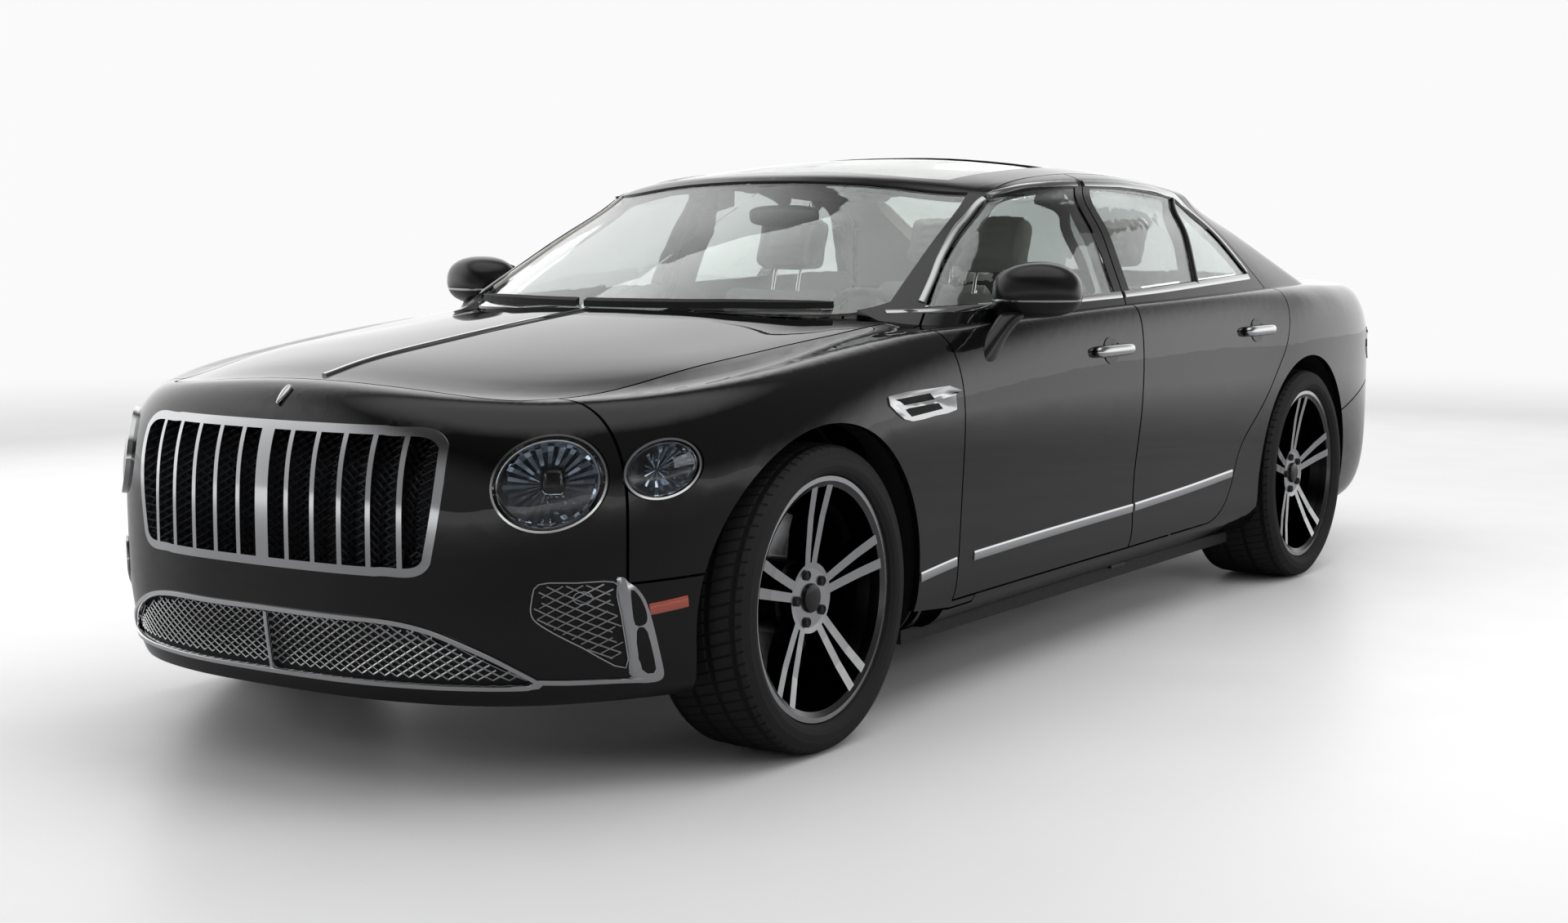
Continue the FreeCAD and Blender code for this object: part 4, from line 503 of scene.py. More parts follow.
def on_surface(names, starts, way, lift, jump=0.05):
    """Points and normals under many places. Those that fall into a gap are left out."""
    found, last = [], None
    for start in starts:
        try:
            place, normal = hit(names, start, way)
        except RuntimeError:
            continue
        deep = place.dot(Vector(way))
        if last is not None and abs(deep - last[0]) > jump + (Vector(start) - last[1]).length:
            continue
        found.append((place + normal * lift, normal))
        last = (deep, Vector(start))
    if len(found) < 2:
        raise RuntimeError(f"no surface of {names} lies along {way} from {starts[0]}")
    return found


def side_path(names, points, side, count=6, lift=0.0, closed=False):
    """A path on the car's flank through places (y, z)."""
    line = smooth_line([(0, y, z) for y, z in points], count, closed)
    return on_surface(names, [(ABEAM * side, p.y, p.z) for p in line], (-side, 0, 0), lift)


def end_path(names, points, end, count=6, lift=0.0, closed=False):
    """A path on the car's nose (end -1) or tail (end 1) through places (x, z)."""
    line = smooth_line([(x, 0, z) for x, z in points], count, closed)
    return on_surface(names, [(p.x, AHEAD * end, p.z) for p in line], (0, -end, 0), lift)


def mirrored_points(points, side):
    """The points (x, z) of the left side, or of the right side in the same turn."""
    return [(x * side, z) for x, z in points]


def patch(name, rim, names, way, lift, key, body, rings=5, sink=0.004):
    """A thin plate on the body's surface inside a closed rim of points."""
    centre = sum((p for p, _ in rim), Vector()) / len(rim)
    verts, n = [], len(rim)
    for k in range(rings + 1):
        share = k / rings
        for p, rim_normal in rim:
            q = centre.lerp(p, share)
            try:
                place, normal = hit(names, q - Vector(way) * 0.4, way)
            except RuntimeError:
                place, normal = q, rim_normal
            if (place - q).length > 0.06:
                place, normal = q, rim_normal
            verts.append(place + normal * lift)
    faces = ring_faces(rings + 1, n)
    base = len(verts)
    for p, normal in rim:
        verts.append(p - normal * sink)
    for i in range(n):
        j = (i + 1) % n
        faces.append((rings * n + i, rings * n + j, base + j, base + i))
    return new_piece(name, verts, faces, key, body, 60)


def inside(points, x, z):
    """Whether a place lies inside a closed outline."""
    found = False
    for i, (x1, z1) in enumerate(points):
        x2, z2 = points[i - 1]
        if (z1 > z) != (z2 > z) and x < (x2 - x1) * (z - z1) / (z2 - z1) + x1:
            found = not found
    return found


def lattice(name, outline, names, end, pitch, slope, wire, key, body, lift=0.0, step=0.012):
    """Two families of crossing wires over a surface, inside an outline seen from the end."""
    curve = bpy.data.curves.new(name, "CURVE")
    curve.dimensions = "3D"
    curve.bevel_depth = wire
    curve.bevel_resolution = 1
    xs = [x for x, _ in outline]
    zs = [z for _, z in outline]
    low_x, high_x, low_z, high_z = min(xs), max(xs), min(zs), max(zs)
    for sign in (-1, 1):
        reach = (high_z - low_z) / slope
        count = int((high_x - low_x + 2 * reach) / pitch) + 1
        for i in range(count):
            x0 = low_x - reach + i * pitch
            run = []
            z = low_z
            while z <= high_z + step:
                x = x0 + (z - low_z) / slope if sign > 0 else x0 + reach - (z - low_z) / slope
                if inside(outline, x, z):
                    try:
                        place, normal = hit(names, (x, AHEAD * end, z), (0, -end, 0))
                        run.append(place + normal * lift)
                    except RuntimeError:
                        pass
                elif len(run) > 1:
                    add_line(curve, run)
                    run = []
                else:
                    run = []
                z += step
            if len(run) > 1:
                add_line(curve, run)
    obj = bpy.data.objects.new(name, curve)
    bpy.context.scene.collection.objects.link(obj)
    return as_mesh(obj, key, body)


def add_line(curve, points):
    """One open run of straight wire."""
    line = curve.splines.new("POLY")
    line.points.add(len(points) - 1)
    for point, place in zip(line.points, points):
        point.co = (*place, 1)


def as_mesh(obj, key, body, angle=40):
    """Turn a curve into a mesh, dress it and set it on its body."""
    bpy.ops.object.select_all(action="DESELECT")
    bpy.context.view_layer.objects.active = obj
    obj.select_set(True)
    bpy.ops.object.convert(target="MESH")
    obj = bpy.context.object
    tidy_up(obj, angle)
    dress(obj, key)
    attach(obj, body)
    return obj


def lofted(name, rings, key, body, angle=60, levels=1):
    """A closed form through rings of equal numbers of points, rounded by subdivision."""
    m = len(rings[0])
    verts = [Vector(p) for ring in rings for p in ring]
    faces = ring_faces(len(rings), m)
    faces.append(tuple(range(m)))
    faces.append(tuple((len(rings) - 1) * m + k for k in range(m)))
    obj = new_piece(name, verts, faces, key, body, angle)
    if levels:
        modified(obj, "soften", "SUBSURF", levels=levels, render_levels=levels)
    return obj


def oval(centre, a, b, u, v, square=2.0, count=24):
    """A ring of points: a rounded oval in the plane of two directions."""
    centre, u, v = Vector(centre), Vector(u), Vector(v)
    ring = []
    for i in range(count):
        t = 2 * math.pi * i / count
        c, s = math.cos(t), math.sin(t)
        c = math.copysign(abs(c) ** (2 / square), c)
        s = math.copysign(abs(s) ** (2 / square), s)
        ring.append(centre + u * (a * c) + v * (b * s))
    return ring


GRILLE = [(0.0, 0.828), (0.165, 0.828), (0.330, 0.828), (0.400, 0.827), (0.455, 0.818), (0.486, 0.790),
          (0.488, 0.700), (0.472, 0.580), (0.462, 0.530), (0.440, 0.506), (0.400, 0.497),
          (0.330, 0.496), (0.165, 0.496), (0.0, 0.496)]
INTAKE = [(0.0, 0.392), (0.165, 0.391), (0.330, 0.390), (0.430, 0.376), (0.502, 0.350), (0.579, 0.309),
          (0.645, 0.270), (0.632, 0.261), (0.600, 0.258), (0.400, 0.257), (0.200, 0.256), (0.0, 0.256)]
INTAKE_WING = [(0.640, 0.266), (0.700, 0.262), (0.766, 0.260), (0.808, 0.256)]
SIDE_INTAKE = [(0.668, 0.487), (0.656, 0.450), (0.655, 0.418), (0.672, 0.393), (0.730, 0.342),
               (0.786, 0.290), (0.790, 0.381), (0.784, 0.454), (0.780, 0.486), (0.726, 0.488)]
FANG = [(0.784, 0.496), (0.801, 0.478), (0.816, 0.442), (0.824, 0.385), (0.828, 0.319),
        (0.826, 0.268), (0.812, 0.253), (0.788, 0.262), (0.792, 0.324), (0.790, 0.390), (0.785, 0.449)]
FANG_HOLES = (
    [(0.799, 0.466), (0.809, 0.447), (0.816, 0.412), (0.814, 0.389), (0.802, 0.387), (0.799, 0.431)],
    [(0.803, 0.372), (0.815, 0.370), (0.818, 0.284), (0.802, 0.284)],
)
LAMPS = (
    ("inner", 0.6775, 0.7055, 0.0965, 0.1065),
    ("outer", 0.8405, 0.7300, 0.0505, 0.0675),
)


def whole_outline(half):
    """A closed outline from its left half."""
    return half + [(-x, z) for x, z in reversed(half) if x > 0]


class SaloonPaint(bpy.types.Operator):
    """Make every finish and give each carried-over solid its own."""
    bl_idname = "saloon.finishes"
    bl_label = "Finishes"

    def execute(self, context):
        make_materials(context.scene.saloon_colours)
        for name, key in NODE_FINISH.items():
            dress(nodes[name], key)
        return {"FINISHED"}


class SaloonSideTrim(bpy.types.Operator):
    """Bright strips round the side windows, along the belt and along the doors' feet."""
    bl_idname = "saloon.side_trim"
    bl_label = "Side trim"

    def execute(self, context):
        sizes = context.scene.saloon_sizes
        pillar = [(-1.000, 1.060), (-0.890, 1.124), (-0.810, 1.172), (-0.730, 1.216), (-0.650, 1.256),
                  (-0.570, 1.291), (-0.490, 1.330), (-0.462, 1.342)]
        upper_front = [(-0.446, 1.349), (-0.410, 1.359), (-0.370, 1.366), (-0.290, 1.378),
                       (-0.210, 1.384), (-0.130, 1.387), (-0.050, 1.390), (0.045, 1.392)]
        upper_rear = [(0.092, 1.393), (0.350, 1.393), (0.510, 1.387), (0.630, 1.381), (0.710, 1.372),
                      (0.790, 1.364), (0.830, 1.357), (0.870, 1.343), (0.910, 1.325), (0.950, 1.302),
                      (0.990, 1.276), (1.030, 1.244), (1.070, 1.208), (1.110, 1.169), (1.150, 1.127),
                      (1.172, 1.098)]
        belt_front = [(-1.104, 1.036), (-0.800, 1.040), (-0.400, 1.046), (0.042, 1.052)]
        belt_rear = [(0.066, 1.053), (0.370, 1.060), (0.700, 1.070), (0.980, 1.078), (1.168, 1.083)]
        for side, tag in SIDES:
            for part, body, lines in (
                ("front", "door_f" + tag, (upper_front, belt_front)),
                ("rear", "door_r" + tag, (upper_rear, belt_rear)),
                ("pillar", "body", (pillar,)),
            ):
                for k, line in enumerate(lines):
                    names = ("body_sides",) if body == "body" else (body, "body_sides")
                    path = side_path(names, line, side, 3)
                    ribbon(f"window_strip_{part}_{k}_{tag}", path, sizes.strip_width,
                           sizes.strip_height, "chrome", body)
            for part, body, names, line in (
                ("wing", "body", ("front_wings",), [(-1.330, 0.372), (-1.230, 0.380), (-1.134, 0.387)]),
                ("front", "door_f" + tag, None, [(-1.122, 0.388), (-0.600, 0.398), (-0.014, 0.406)]),
                ("rear", "door_r" + tag, None, [(0.002, 0.407), (0.400, 0.420), (0.770, 0.438)]),
            ):
                path = side_path(names or (body,), line, side)
                ribbon(f"sill_strip_{part}_{tag}", path, sizes.sill_width,
                       sizes.strip_height, "chrome", body)
            divider = [(0.660, 1.074), (0.740, 1.222), (0.806, 1.352)]
            path = side_path(("glass_r" + tag, "door_r" + tag), divider, side, lift=0.001)
            ribbon(f"quarter_bar_{tag}", path, 0.022, 0.003, "gloss_black", "door_r" + tag)
        return {"FINISHED"}


class SaloonHandles(bpy.types.Operator):
    """Door handles: a bright bar across a dark cup."""
    bl_idname = "saloon.handles"
    bl_label = "Door handles"

    def execute(self, context):
        for side, tag in SIDES:
            for part, y, z in (("f", -0.185, 0.896), ("r", 0.962, 0.908)):
                body = "door_" + part + tag
                spot, normal = hit((body,), (ABEAM * side, y, z - 0.03), (-side, 0, 0))
                rings = []
                for share in (-1, -0.96, -0.8, -0.4, 0, 0.4, 0.8, 0.96, 1):
                    full = math.sqrt(max(0.0, 1 - share ** 16)) * 0.9 + 0.1
                    centre = Vector((spot.x + side * 0.009, y + share * 0.124, z))
                    rings.append(oval(centre, 0.0185 * full, 0.0185 * full, (1, 0, 0), (0, 0, 1),
                                      2.6, 16))
                lofted(f"handle_bar_{part}{tag}", rings, "chrome", body)
                cup = [(y - 0.006 + 0.052 * math.cos(k * TWELFTH), z + 0.040 * math.sin(k * TWELFTH))
                       for k in range(12)]
                rim = side_path((body,), cup, side, 3, 0.0, True)
                patch(f"handle_cup_{part}{tag}", rim, (body,), (-side, 0, 0), 0.0025,
                      "gloss_black", body, 6)
        return {"FINISHED"}


class SaloonMirrors(bpy.types.Operator):
    """Door mirrors: swept shell, bright line, silvered glass and foot."""
    bl_idname = "saloon.mirrors"
    bl_label = "Mirrors"

    def execute(self, context):
        for side, tag in SIDES:
            body = "door_f" + tag
            rings = []
            for x, z, a, b in (
                (-0.100, -0.018, 0.020, 0.030), (-0.092, -0.014, 0.052, 0.052),
                (-0.067, -0.006, 0.074, 0.064), (-0.027, 0.000, 0.083, 0.070),
                (0.018, 0.002, 0.084, 0.070), (0.058, 0.001, 0.078, 0.064),
                (0.086, -0.002, 0.064, 0.050), (0.100, -0.004, 0.044, 0.034),
                (0.106, -0.005, 0.018, 0.014),
            ):
                ring = []
                for p in oval((x, 0, z), a, b, (0, 1, 0), (0, 0, 1), 2.5, 28):
                    ring.append(self.swept(p.x, min(p.y, 0.067), p.z, side))
                rings.append(ring)
            shell = lofted("mirror_shell_" + tag, rings, "gloss_black", body)
            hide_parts("mirror_" + tag)
            foot = []
            for x, y, z, a, b in (
                (0.938, -0.955, 0.876, 0.044, 0.018), (0.940, -0.948, 0.900, 0.062, 0.024),
                (0.944, -0.915, 0.940, 0.052, 0.024), (0.950, -0.872, 0.980, 0.042, 0.026),
                (0.958, -0.830, 1.015, 0.044, 0.032), (0.968, -0.795, 1.040, 0.050, 0.038),
            ):
                foot.append(oval((x * side, y, z), a, b, (0, 1, 0), (1, 0, 0), 2.2, 20))
            lofted("mirror_foot_" + tag, foot, "gloss_black", body)
            glass = []
            for y in (0.0665, 0.0705):
                ring = oval((0.002, y, -0.001), 0.072, 0.050, (1, 0, 0), (0, 0, 1), 3.0, 28)
                glass.append([self.swept(p.x, p.y, p.z, side) for p in ring])
            lofted("mirror_glass_" + tag, glass, "silver", body, 30, 0)
            path = []
            tree = BVHTree.FromObject(shell, bpy.context.evaluated_depsgraph_get())
            for k in range(23):
                turn = math.radians(-178 + k * 8.5)
                way = Vector((-math.cos(turn) * side, -math.sin(turn), 0))
                start = Vector((MIRROR_MIDDLE.x * side, MIRROR_MIDDLE.y, 1.062)) - way * 0.4
                place, normal, _, _ = tree.ray_cast(start, way)
                if place is not None and abs(normal.z) < 0.8:
                    path.append((place, normal))
            ribbon("mirror_line_" + tag, path, 0.006, 0.0015, "chrome", body, sink=0.001)
        return {"FINISHED"}

    def swept(self, x, y, z, side):
        """A place in the shell's own directions, grown and turned back with its sweep."""
        middle = MIRROR_MIDDLE
        x, y, z = x * MIRROR_GROWTH[0], y * MIRROR_GROWTH[1], z * MIRROR_GROWTH[2]
        across = middle.x + x * math.cos(MIRROR_SWEEP) - y * math.sin(MIRROR_SWEEP)
        along = middle.y + x * math.sin(MIRROR_SWEEP) + y * math.cos(MIRROR_SWEEP)
        return Vector((across * side, along, middle.z + z))


class SaloonNose(bpy.types.Operator):
    """Radiator lattice, bright frames, air intakes, bonnet strip and nose piece."""
    bl_idname = "saloon.nose"
    bl_label = "Nose"

    def execute(self, context):
        sizes = context.scene.saloon_sizes
        front = ("front_bumper", "front_wings", "headlamp_lenses", "bonnet")
        grille = whole_outline(GRILLE)
        lattice("radiator_lattice", [(x * 0.985, z) for x, z in grille], ("grille_mesh",), -1,
                sizes.lattice_pitch, 0.55, sizes.wire * 1.3, "black_chrome", "body", 0.004)
        intake = whole_outline(INTAKE)
        lattice("intake_lattice", intake, ("bumper_grilles",), -1, sizes.intake_pitch, 0.62,
                sizes.wire, "chrome", "body", 0.003)
        outer = [(x * 1.012, z + (0.006 if z > 0.30 else -0.006)) for x, z in intake]
        rim = end_path(("front_bumper",), outer, -1, 4, 0.0, True)
        ribbon("intake_frame", rim, 0.013, 0.007, "chrome", "body", True, 0.012)
        middle = end_path(("bumper_grilles",), [(0, 0.390), (0, 0.330), (0, 0.259)], -1, 4, 0.012)
        ribbon("intake_divider", middle, 0.010, 0.005, "chrome", "body", False, 0.014)
        for side, tag in SIDES:
            points = mirrored_points(SIDE_INTAKE, side)
            rim = end_path(front, points, -1, 3, 0.0, True)
            patch("side_intake_back_" + tag, rim, front, (0, 1, 0), 0.0015, "matt_black", "body")
            lattice("side_intake_lattice_" + tag, points, front, -1, sizes.intake_pitch, 0.7,
                    sizes.wire * 0.9, "chrome", "body", 0.004)
            line = end_path(front, points, -1, 3, 0.003, True)
            ribbon("side_intake_frame_" + tag, line, 0.004, 0.003, "chrome", "body", True)
            ring = [(0.735 + 0.014 * math.cos(k * TWELFTH), 0.454 + 0.014 * math.sin(k * TWELFTH))
                    for k in range(12)]
            line = end_path(front, mirrored_points(ring, side), -1, 2, 0.004, True)
            ribbon("sensor_ring_" + tag, line, 0.003, 0.004, "chrome", "body", True)
            fang = end_path(front, mirrored_points(FANG, side), -1, 4, 0.006, True)
            patch("fang_" + tag, fang, front, (0, 1, 0), 0.006, "chrome", "body", 5, 0.010)
            for k, hole in enumerate(FANG_HOLES):
                line = end_path(front, mirrored_points(hole, side), -1, 3, 0.007, True)
                patch(f"fang_hole_{k}_{tag}", line, front, (0, 1, 0), 0.007, "matt_black", "body", 3)
            line = end_path(front, mirrored_points(INTAKE_WING, side), -1, 6, 0.0)
            ribbon("intake_wing_" + tag, line, 0.013, 0.007, "chrome", "body", False, 0.008)
            marker = side_path(front, [(-2.290, 0.418), (-2.248, 0.424), (-2.208, 0.430)], side)
            ribbon("side_marker_" + tag, marker, 0.026, 0.004, "amber", "body")
        spear = []
        for p in smooth_line([(0, -2.450, 0), (0, -2.100, 0), (0, -1.750, 0), (0, -1.455, 0)], 10):
            spear.append(hit(("bonnet",), (0, p.y, 2.0), (0, 0, -1)))
        ribbon("bonnet_strip", spear, sizes.spear_width, 0.006, "chrome", "bonnet")
        place, normal = hit(("front_bumper", "bonnet"), (0, -AHEAD, 0.880), (0, 1, 0))
        along = Vector((1, 0, 0)).cross(normal)
        rings = []
        for share, a in (
            (-1, 0.004), (-0.9, 0.009), (-0.3, 0.013), (0.3, 0.010), (0.85, 0.005), (1, 0.002),
        ):
            centre = place + along * (share * 0.030) + normal * 0.003
            rings.append(oval(centre, a, 0.006 * a / 0.013 + 0.002, (1, 0, 0), normal, 2.2, 16))
        lofted("nose_piece", rings, "chrome", "body")
        return {"FINISHED"}


class SaloonLamps(bpy.types.Operator):
    """Headlamps: bright ring, cut reflector and projector behind each clear lens."""
    bl_idname = "saloon.lamps"
    bl_label = "Headlamps"

    def execute(self, context):
        sizes = context.scene.saloon_sizes
        names = ("front_bumper", "front_wings", "headlamp_lenses")
        first = None
        for side, tag in SIDES:
            for kind, x, z, a, b in LAMPS:
                rim = end_path(names, self.oval(x * side, z, a - 0.004, b - 0.004), -1, 1, 0.0, True)
                ribbon(f"lamp_ring_{kind}_{tag}", rim, sizes.bezel_width, 0.010, "chrome",
                       "body", True, 0.012)
                inner = end_path(names, self.oval(x * side, z, a * 0.86, b * 0.88), -1, 1, -0.004, True)
                ribbon(f"lamp_line_{kind}_{tag}", inner, 0.004, 0.004, "chrome", "body", True, 0.004)
                self.reflector(f"{kind}_{tag}", rim, kind == "inner")
                lens = self.lens(f"lamp_lens_{kind}_{tag}", rim)
                first = first or lens
        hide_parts("headlamp_lenses")
        return {"FINISHED"}

    def oval(self, x, z, a, b, count=48):
        """Places round an oval seen from the front."""
        turns = [2 * math.pi * k / count for k in range(count)]
        return [(x + a * math.cos(t), z + b * math.sin(t)) for t in turns]

    def lens(self, name, rim):
        """A clear dome of even wall inside a lamp's ring."""
        centre = sum((p for p, _ in rim), Vector()) / len(rim)
        normal = sum((n for _, n in rim), Vector()).normalized()
        verts, n = [], len(rim)
        shares = (0.98, 0.85, 0.68, 0.48, 0.25)
        for share in shares:
            bulge = 0.004 + 0.014 * (1 - share * share)
            verts += [centre.lerp(p, share) + normal * bulge for p, _ in rim]
        faces = ring_faces(len(shares), n)
        faces.append(tuple(range((len(shares) - 1) * n, len(shares) * n)))
        obj = new_piece(name, verts, faces, "lamp_glass", "body", 60)
        modified(obj, "wall", "SOLIDIFY", thickness=0.003)
        return obj

    def reflector(self, name, rim, projector):
        """A dish of cut facets from a lamp's rim to its middle, and the projector in it."""
        centre = sum((p for p, _ in rim), Vector()) / len(rim)
        normal = sum((n for _, n in rim), Vector()).normalized()
        verts, n = [], len(rim)
        rows = ((0.97, 0.004, 0.0), (0.93, 0.020, 0.0), (0.84, 0.024, 0.005), (0.74, 0.026, -0.005),
                (0.63, 0.028, 0.006), (0.52, 0.031, -0.005), (0.40, 0.034, 0.004), (0.0, 0.036, 0.0))
        for k, (share, depth, cut) in enumerate(rows):
            for i, (p, pn) in enumerate(rim):
                swing = cut if (i // 2 + k) % 2 else -cut
                inward = pn.lerp(normal, 0.5) * (depth + swing)
                verts.append(centre.lerp(p, share) - inward)
        faces = ring_faces(len(rows), n)
        dish = new_piece("reflector_" + name, verts, faces, "reflector", "body", 5)
        dish.data.materials.append(materials["gloss_black"])
        for face in dish.data.polygons:
            if face.index < n:
                face.material_index = 1
        u = Vector((0, 0, 1)).cross(normal).normalized()
        v = normal.cross(u)
        if not projector:
            return
        sizes = ((0.010, 0.008, 0.027, 0.031), (0.020, -0.042, 0.024, 0.012))
        for k, (across, up, half_u, half_v) in enumerate(sizes):
            side = 1 if centre.x > 0 else -1
            base = centre - normal * 0.026 + u * (across * side) + v * up
            rings = [oval(base + normal * d, half_u * s, half_v * s, u, v, 4.0, 24)
                     for d, s in ((0.0, 1.0), (0.014, 1.0), (0.016, 0.94), (0.010, 0.86), (0.010, 0.2))]
            lofted(f"projector_case_{k}_{name}", rings, "chrome", "body", 30, 0)
            rings = [oval(base + normal * d, half_u * s, half_v * s, u, v, 4.0, 24)
                     for d, s in ((0.011, 0.86), (0.017, 0.70), (0.019, 0.45), (0.0195, 0.1))]
            lofted(f"projector_lens_{k}_{name}", rings, "gloss_black", "body", 60, 0)


class SaloonVents(bpy.types.Operator):
    """Bright vents behind the front wheels."""
    bl_idname = "saloon.vents"
    bl_label = "Wing vents"

    def execute(self, context):
        outline = [(-1.510, 0.846), (-1.300, 0.852), (-1.115, 0.852), (-1.128, 0.838), (-1.172, 0.828),
                   (-1.160, 0.790), (-1.280, 0.783), (-1.400, 0.778), (-1.470, 0.800)]
        holes = (
            [(-1.480, 0.837), (-1.310, 0.842), (-1.286, 0.825), (-1.449, 0.820)],
            [(-1.440, 0.811), (-1.262, 0.814), (-1.238, 0.798), (-1.404, 0.790)],
        )
        names = ("front_wings", "wing_vents")
        for side, tag in SIDES:
            rim = side_path(names, outline, side, 2, 0.004, True)
            plate = patch("vent_plate_" + tag, rim, names, (-side, 0, 0), 0.004, "chrome",
                          "body", 5, 0.008)
            if side > 0:
                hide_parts("wing_vents")
            for k, hole in enumerate(holes):
                line = side_path(names, hole, side, 1, 0.005, True)
                patch(f"vent_hole_{k}_{tag}", line, names, (-side, 0, 0), 0.005,
                      "matt_black", "body", 2)
        return {"FINISHED"}


class SaloonTail(bpy.types.Operator):
    """Bright rings of the tail lamps, number plate recess, exhaust outlets and lower grille."""
    bl_idname = "saloon.tail"
    bl_label = "Tail"

    def execute(self, context):
        names = ("rear_bumper", "boot_lid", "tail_lamps", "boot_lamps", "body_sides")
        for side, tag in SIDES:
            outline = mirrored_points([(0.665, 0.724), (0.668, 0.818), (0.780, 0.836), (0.900, 0.850),
                                       (0.905, 0.752), (0.780, 0.736)], side)
            rim = end_path(names, outline, 1, 5, 0.0, True)
            ribbon("tail_ring_" + tag, rim, 0.007, 0.004, "chrome", "body", True)
            outline = mirrored_points([(0.440, 0.760), (0.440, 0.798), (0.622, 0.816),
                                       (0.622, 0.726), (0.476, 0.726)], side)
            rim = end_path(names, outline, 1, 5, 0.0, True)
            ribbon("lid_lamp_ring_" + tag, rim, 0.007, 0.004, "chrome", "boot", True)
            rings = []
            spot, _ = hit(("rear_bumper",), (0.640 * side, AHEAD, 0.350), (0, -1, 0))
            for depth, a, b in ((-0.060, 0.096, 0.034), (0.004, 0.100, 0.038),
                                (0.006, 0.094, 0.032), (-0.050, 0.086, 0.026)):
                rings.append(oval((0.640 * side, spot.y + depth, 0.350), a, b, (1, 0, 0),
                                  (0, 0, 1), 3.2, 32))
            lofted("exhaust_outlet_" + tag, rings, "chrome", "body", 40, 0)
        line = end_path(("boot_lid",), [(-0.400, 0.880), (0, 0.884), (0.400, 0.880)], 1, 10)
        ribbon("boot_strip", line, 0.012, 0.005, "chrome", "boot")
        plate = [(-0.265, 0.540), (-0.265, 0.650), (0.265, 0.650), (0.265, 0.540)]
        rim = end_path(("rear_bumper", "boot_lid"), plate, 1, 1, 0.0, True)
        patch("plate_place", rim, ("rear_bumper", "boot_lid"), (0, -1, 0), 0.004,
              "gloss_black", "body", 2)
        grid = [(-0.480, 0.300), (-0.520, 0.400), (0.520, 0.400), (0.480, 0.300)]
        rim = end_path(("rear_bumper",), grid, 1, 1, 0.0, True)
        patch("diffuser_back", rim, ("rear_bumper",), (0, -1, 0), 0.0015, "matt_black", "body", 3)
        lattice("diffuser_lattice", grid, ("rear_bumper",), 1, 0.030, 0.62, 0.002,
                "gloss_black", "body", 0.004)
        return {"FINISHED"}


class SaloonWheels(bpy.types.Operator):
    """Bolts and blank caps in the wheels' middles."""
    bl_idname = "saloon.wheels"
    bl_label = "Wheel caps and bolts"

    def execute(self, context):
        for side, tag in SIDES:
            for end, y, z, track, width in (
                ("f", FRONT_AXLE, FRONT_TYRE_RADIUS, FRONT_TRACK, 0.275),
                ("r", REAR_AXLE, REAR_TYRE_RADIUS, REAR_TRACK, 0.315),
            ):
                body = "wheel_" + end + tag
                spot, _ = hit((body,), (ABEAM * side, y, z), (-side, 0, 0))
                rings = []
                for stand, r in ((-0.004, 0.036), (0.004, 0.036), (0.008, 0.034),
                                 (0.010, 0.026), (0.0105, 0.010)):
                    rings.append(oval((spot.x + stand * side, y, z), r, r, (0, 1, 0),
                                      (0, 0, 1), 2.0, 32))
                lofted("wheel_cap_" + end + tag, rings, "gloss_black", body, 30, 0)
                for k in range(5):
                    turn = math.radians(36 + 72 * k)
                    by, bz = y + 0.060 * math.cos(turn), z + 0.060 * math.sin(turn)
                    seat, _ = hit((body,), (ABEAM * side, by, bz), (-side, 0, 0))
                    rings = []
                    for stand, r in ((-0.002, 0.0125), (0.006, 0.0125), (0.008, 0.010), (0.004, 0.008)):
                        rings.append(oval((seat.x + stand * side, by, bz), r, r, (0, 1, 0),
                                          (0, 0, 1), 2.0, 12))
                    lofted(f"wheel_bolt_{k}_{end}{tag}", rings, "dark_alloy", body, 30, 0)
        return {"FINISHED"}


class SaloonLining(bpy.types.Operator):
    """Cloth roof lining, inside mirror and its housing on the windscreen."""
    bl_idname = "saloon.lining"
    bl_label = "Roof lining"

    def execute(self, context):
        verts, faces = [], []
        columns, rows = 17, 21
        for j in range(rows):
            y = -0.440 + 1.380 * j / (rows - 1)
            for i in range(columns):
                x = -0.540 + 1.080 * i / (columns - 1)
                place, _ = hit(("roof", "fixed_glass", "body_sides"), (x, y, 0.96), (0, 0, 1))
                verts.append(Vector((x, y, place.z - 0.010)))
        for j in range(rows - 1):
            for i in range(columns - 1):
                a = j * columns + i
                faces.append((a, a + columns, a + columns + 1, a + 1))
        obj = new_piece("roof_lining", verts, faces, "lining", "body", 60)
        modified(obj, "thick", "SOLIDIFY", thickness=0.004)
        place, normal = hit(("fixed_glass",), (0, -1.4, 1.370), (0, 1, 0))
        rings = []
        for x, a in ((-0.125, 0.012), (-0.118, 0.026), (-0.060, 0.034), (0.060, 0.034),
                     (0.118, 0.026), (0.125, 0.012)):
            rings.append(oval((x, place.y + 0.130, 1.290), 0.010, a, (0, 1, 0), (0, 0, 1),
                              2.4, 20))
        lofted("inside_mirror", rings, "gloss_black", "body")
        rings = []
        for y, z, a, b in ((0.010, 1.372, 0.050, 0.012), (0.060, 1.366, 0.060, 0.018),
                           (0.110, 1.352, 0.040, 0.018), (0.128, 1.318, 0.014, 0.012)):
            rings.append(oval((0, place.y + y + 0.012, z), a, b, (1, 0, 0), (0, 0, 1), 2.4, 20))
        lofted("sensor_case", rings, "gloss_black", "body")
        return {"FINISHED"}


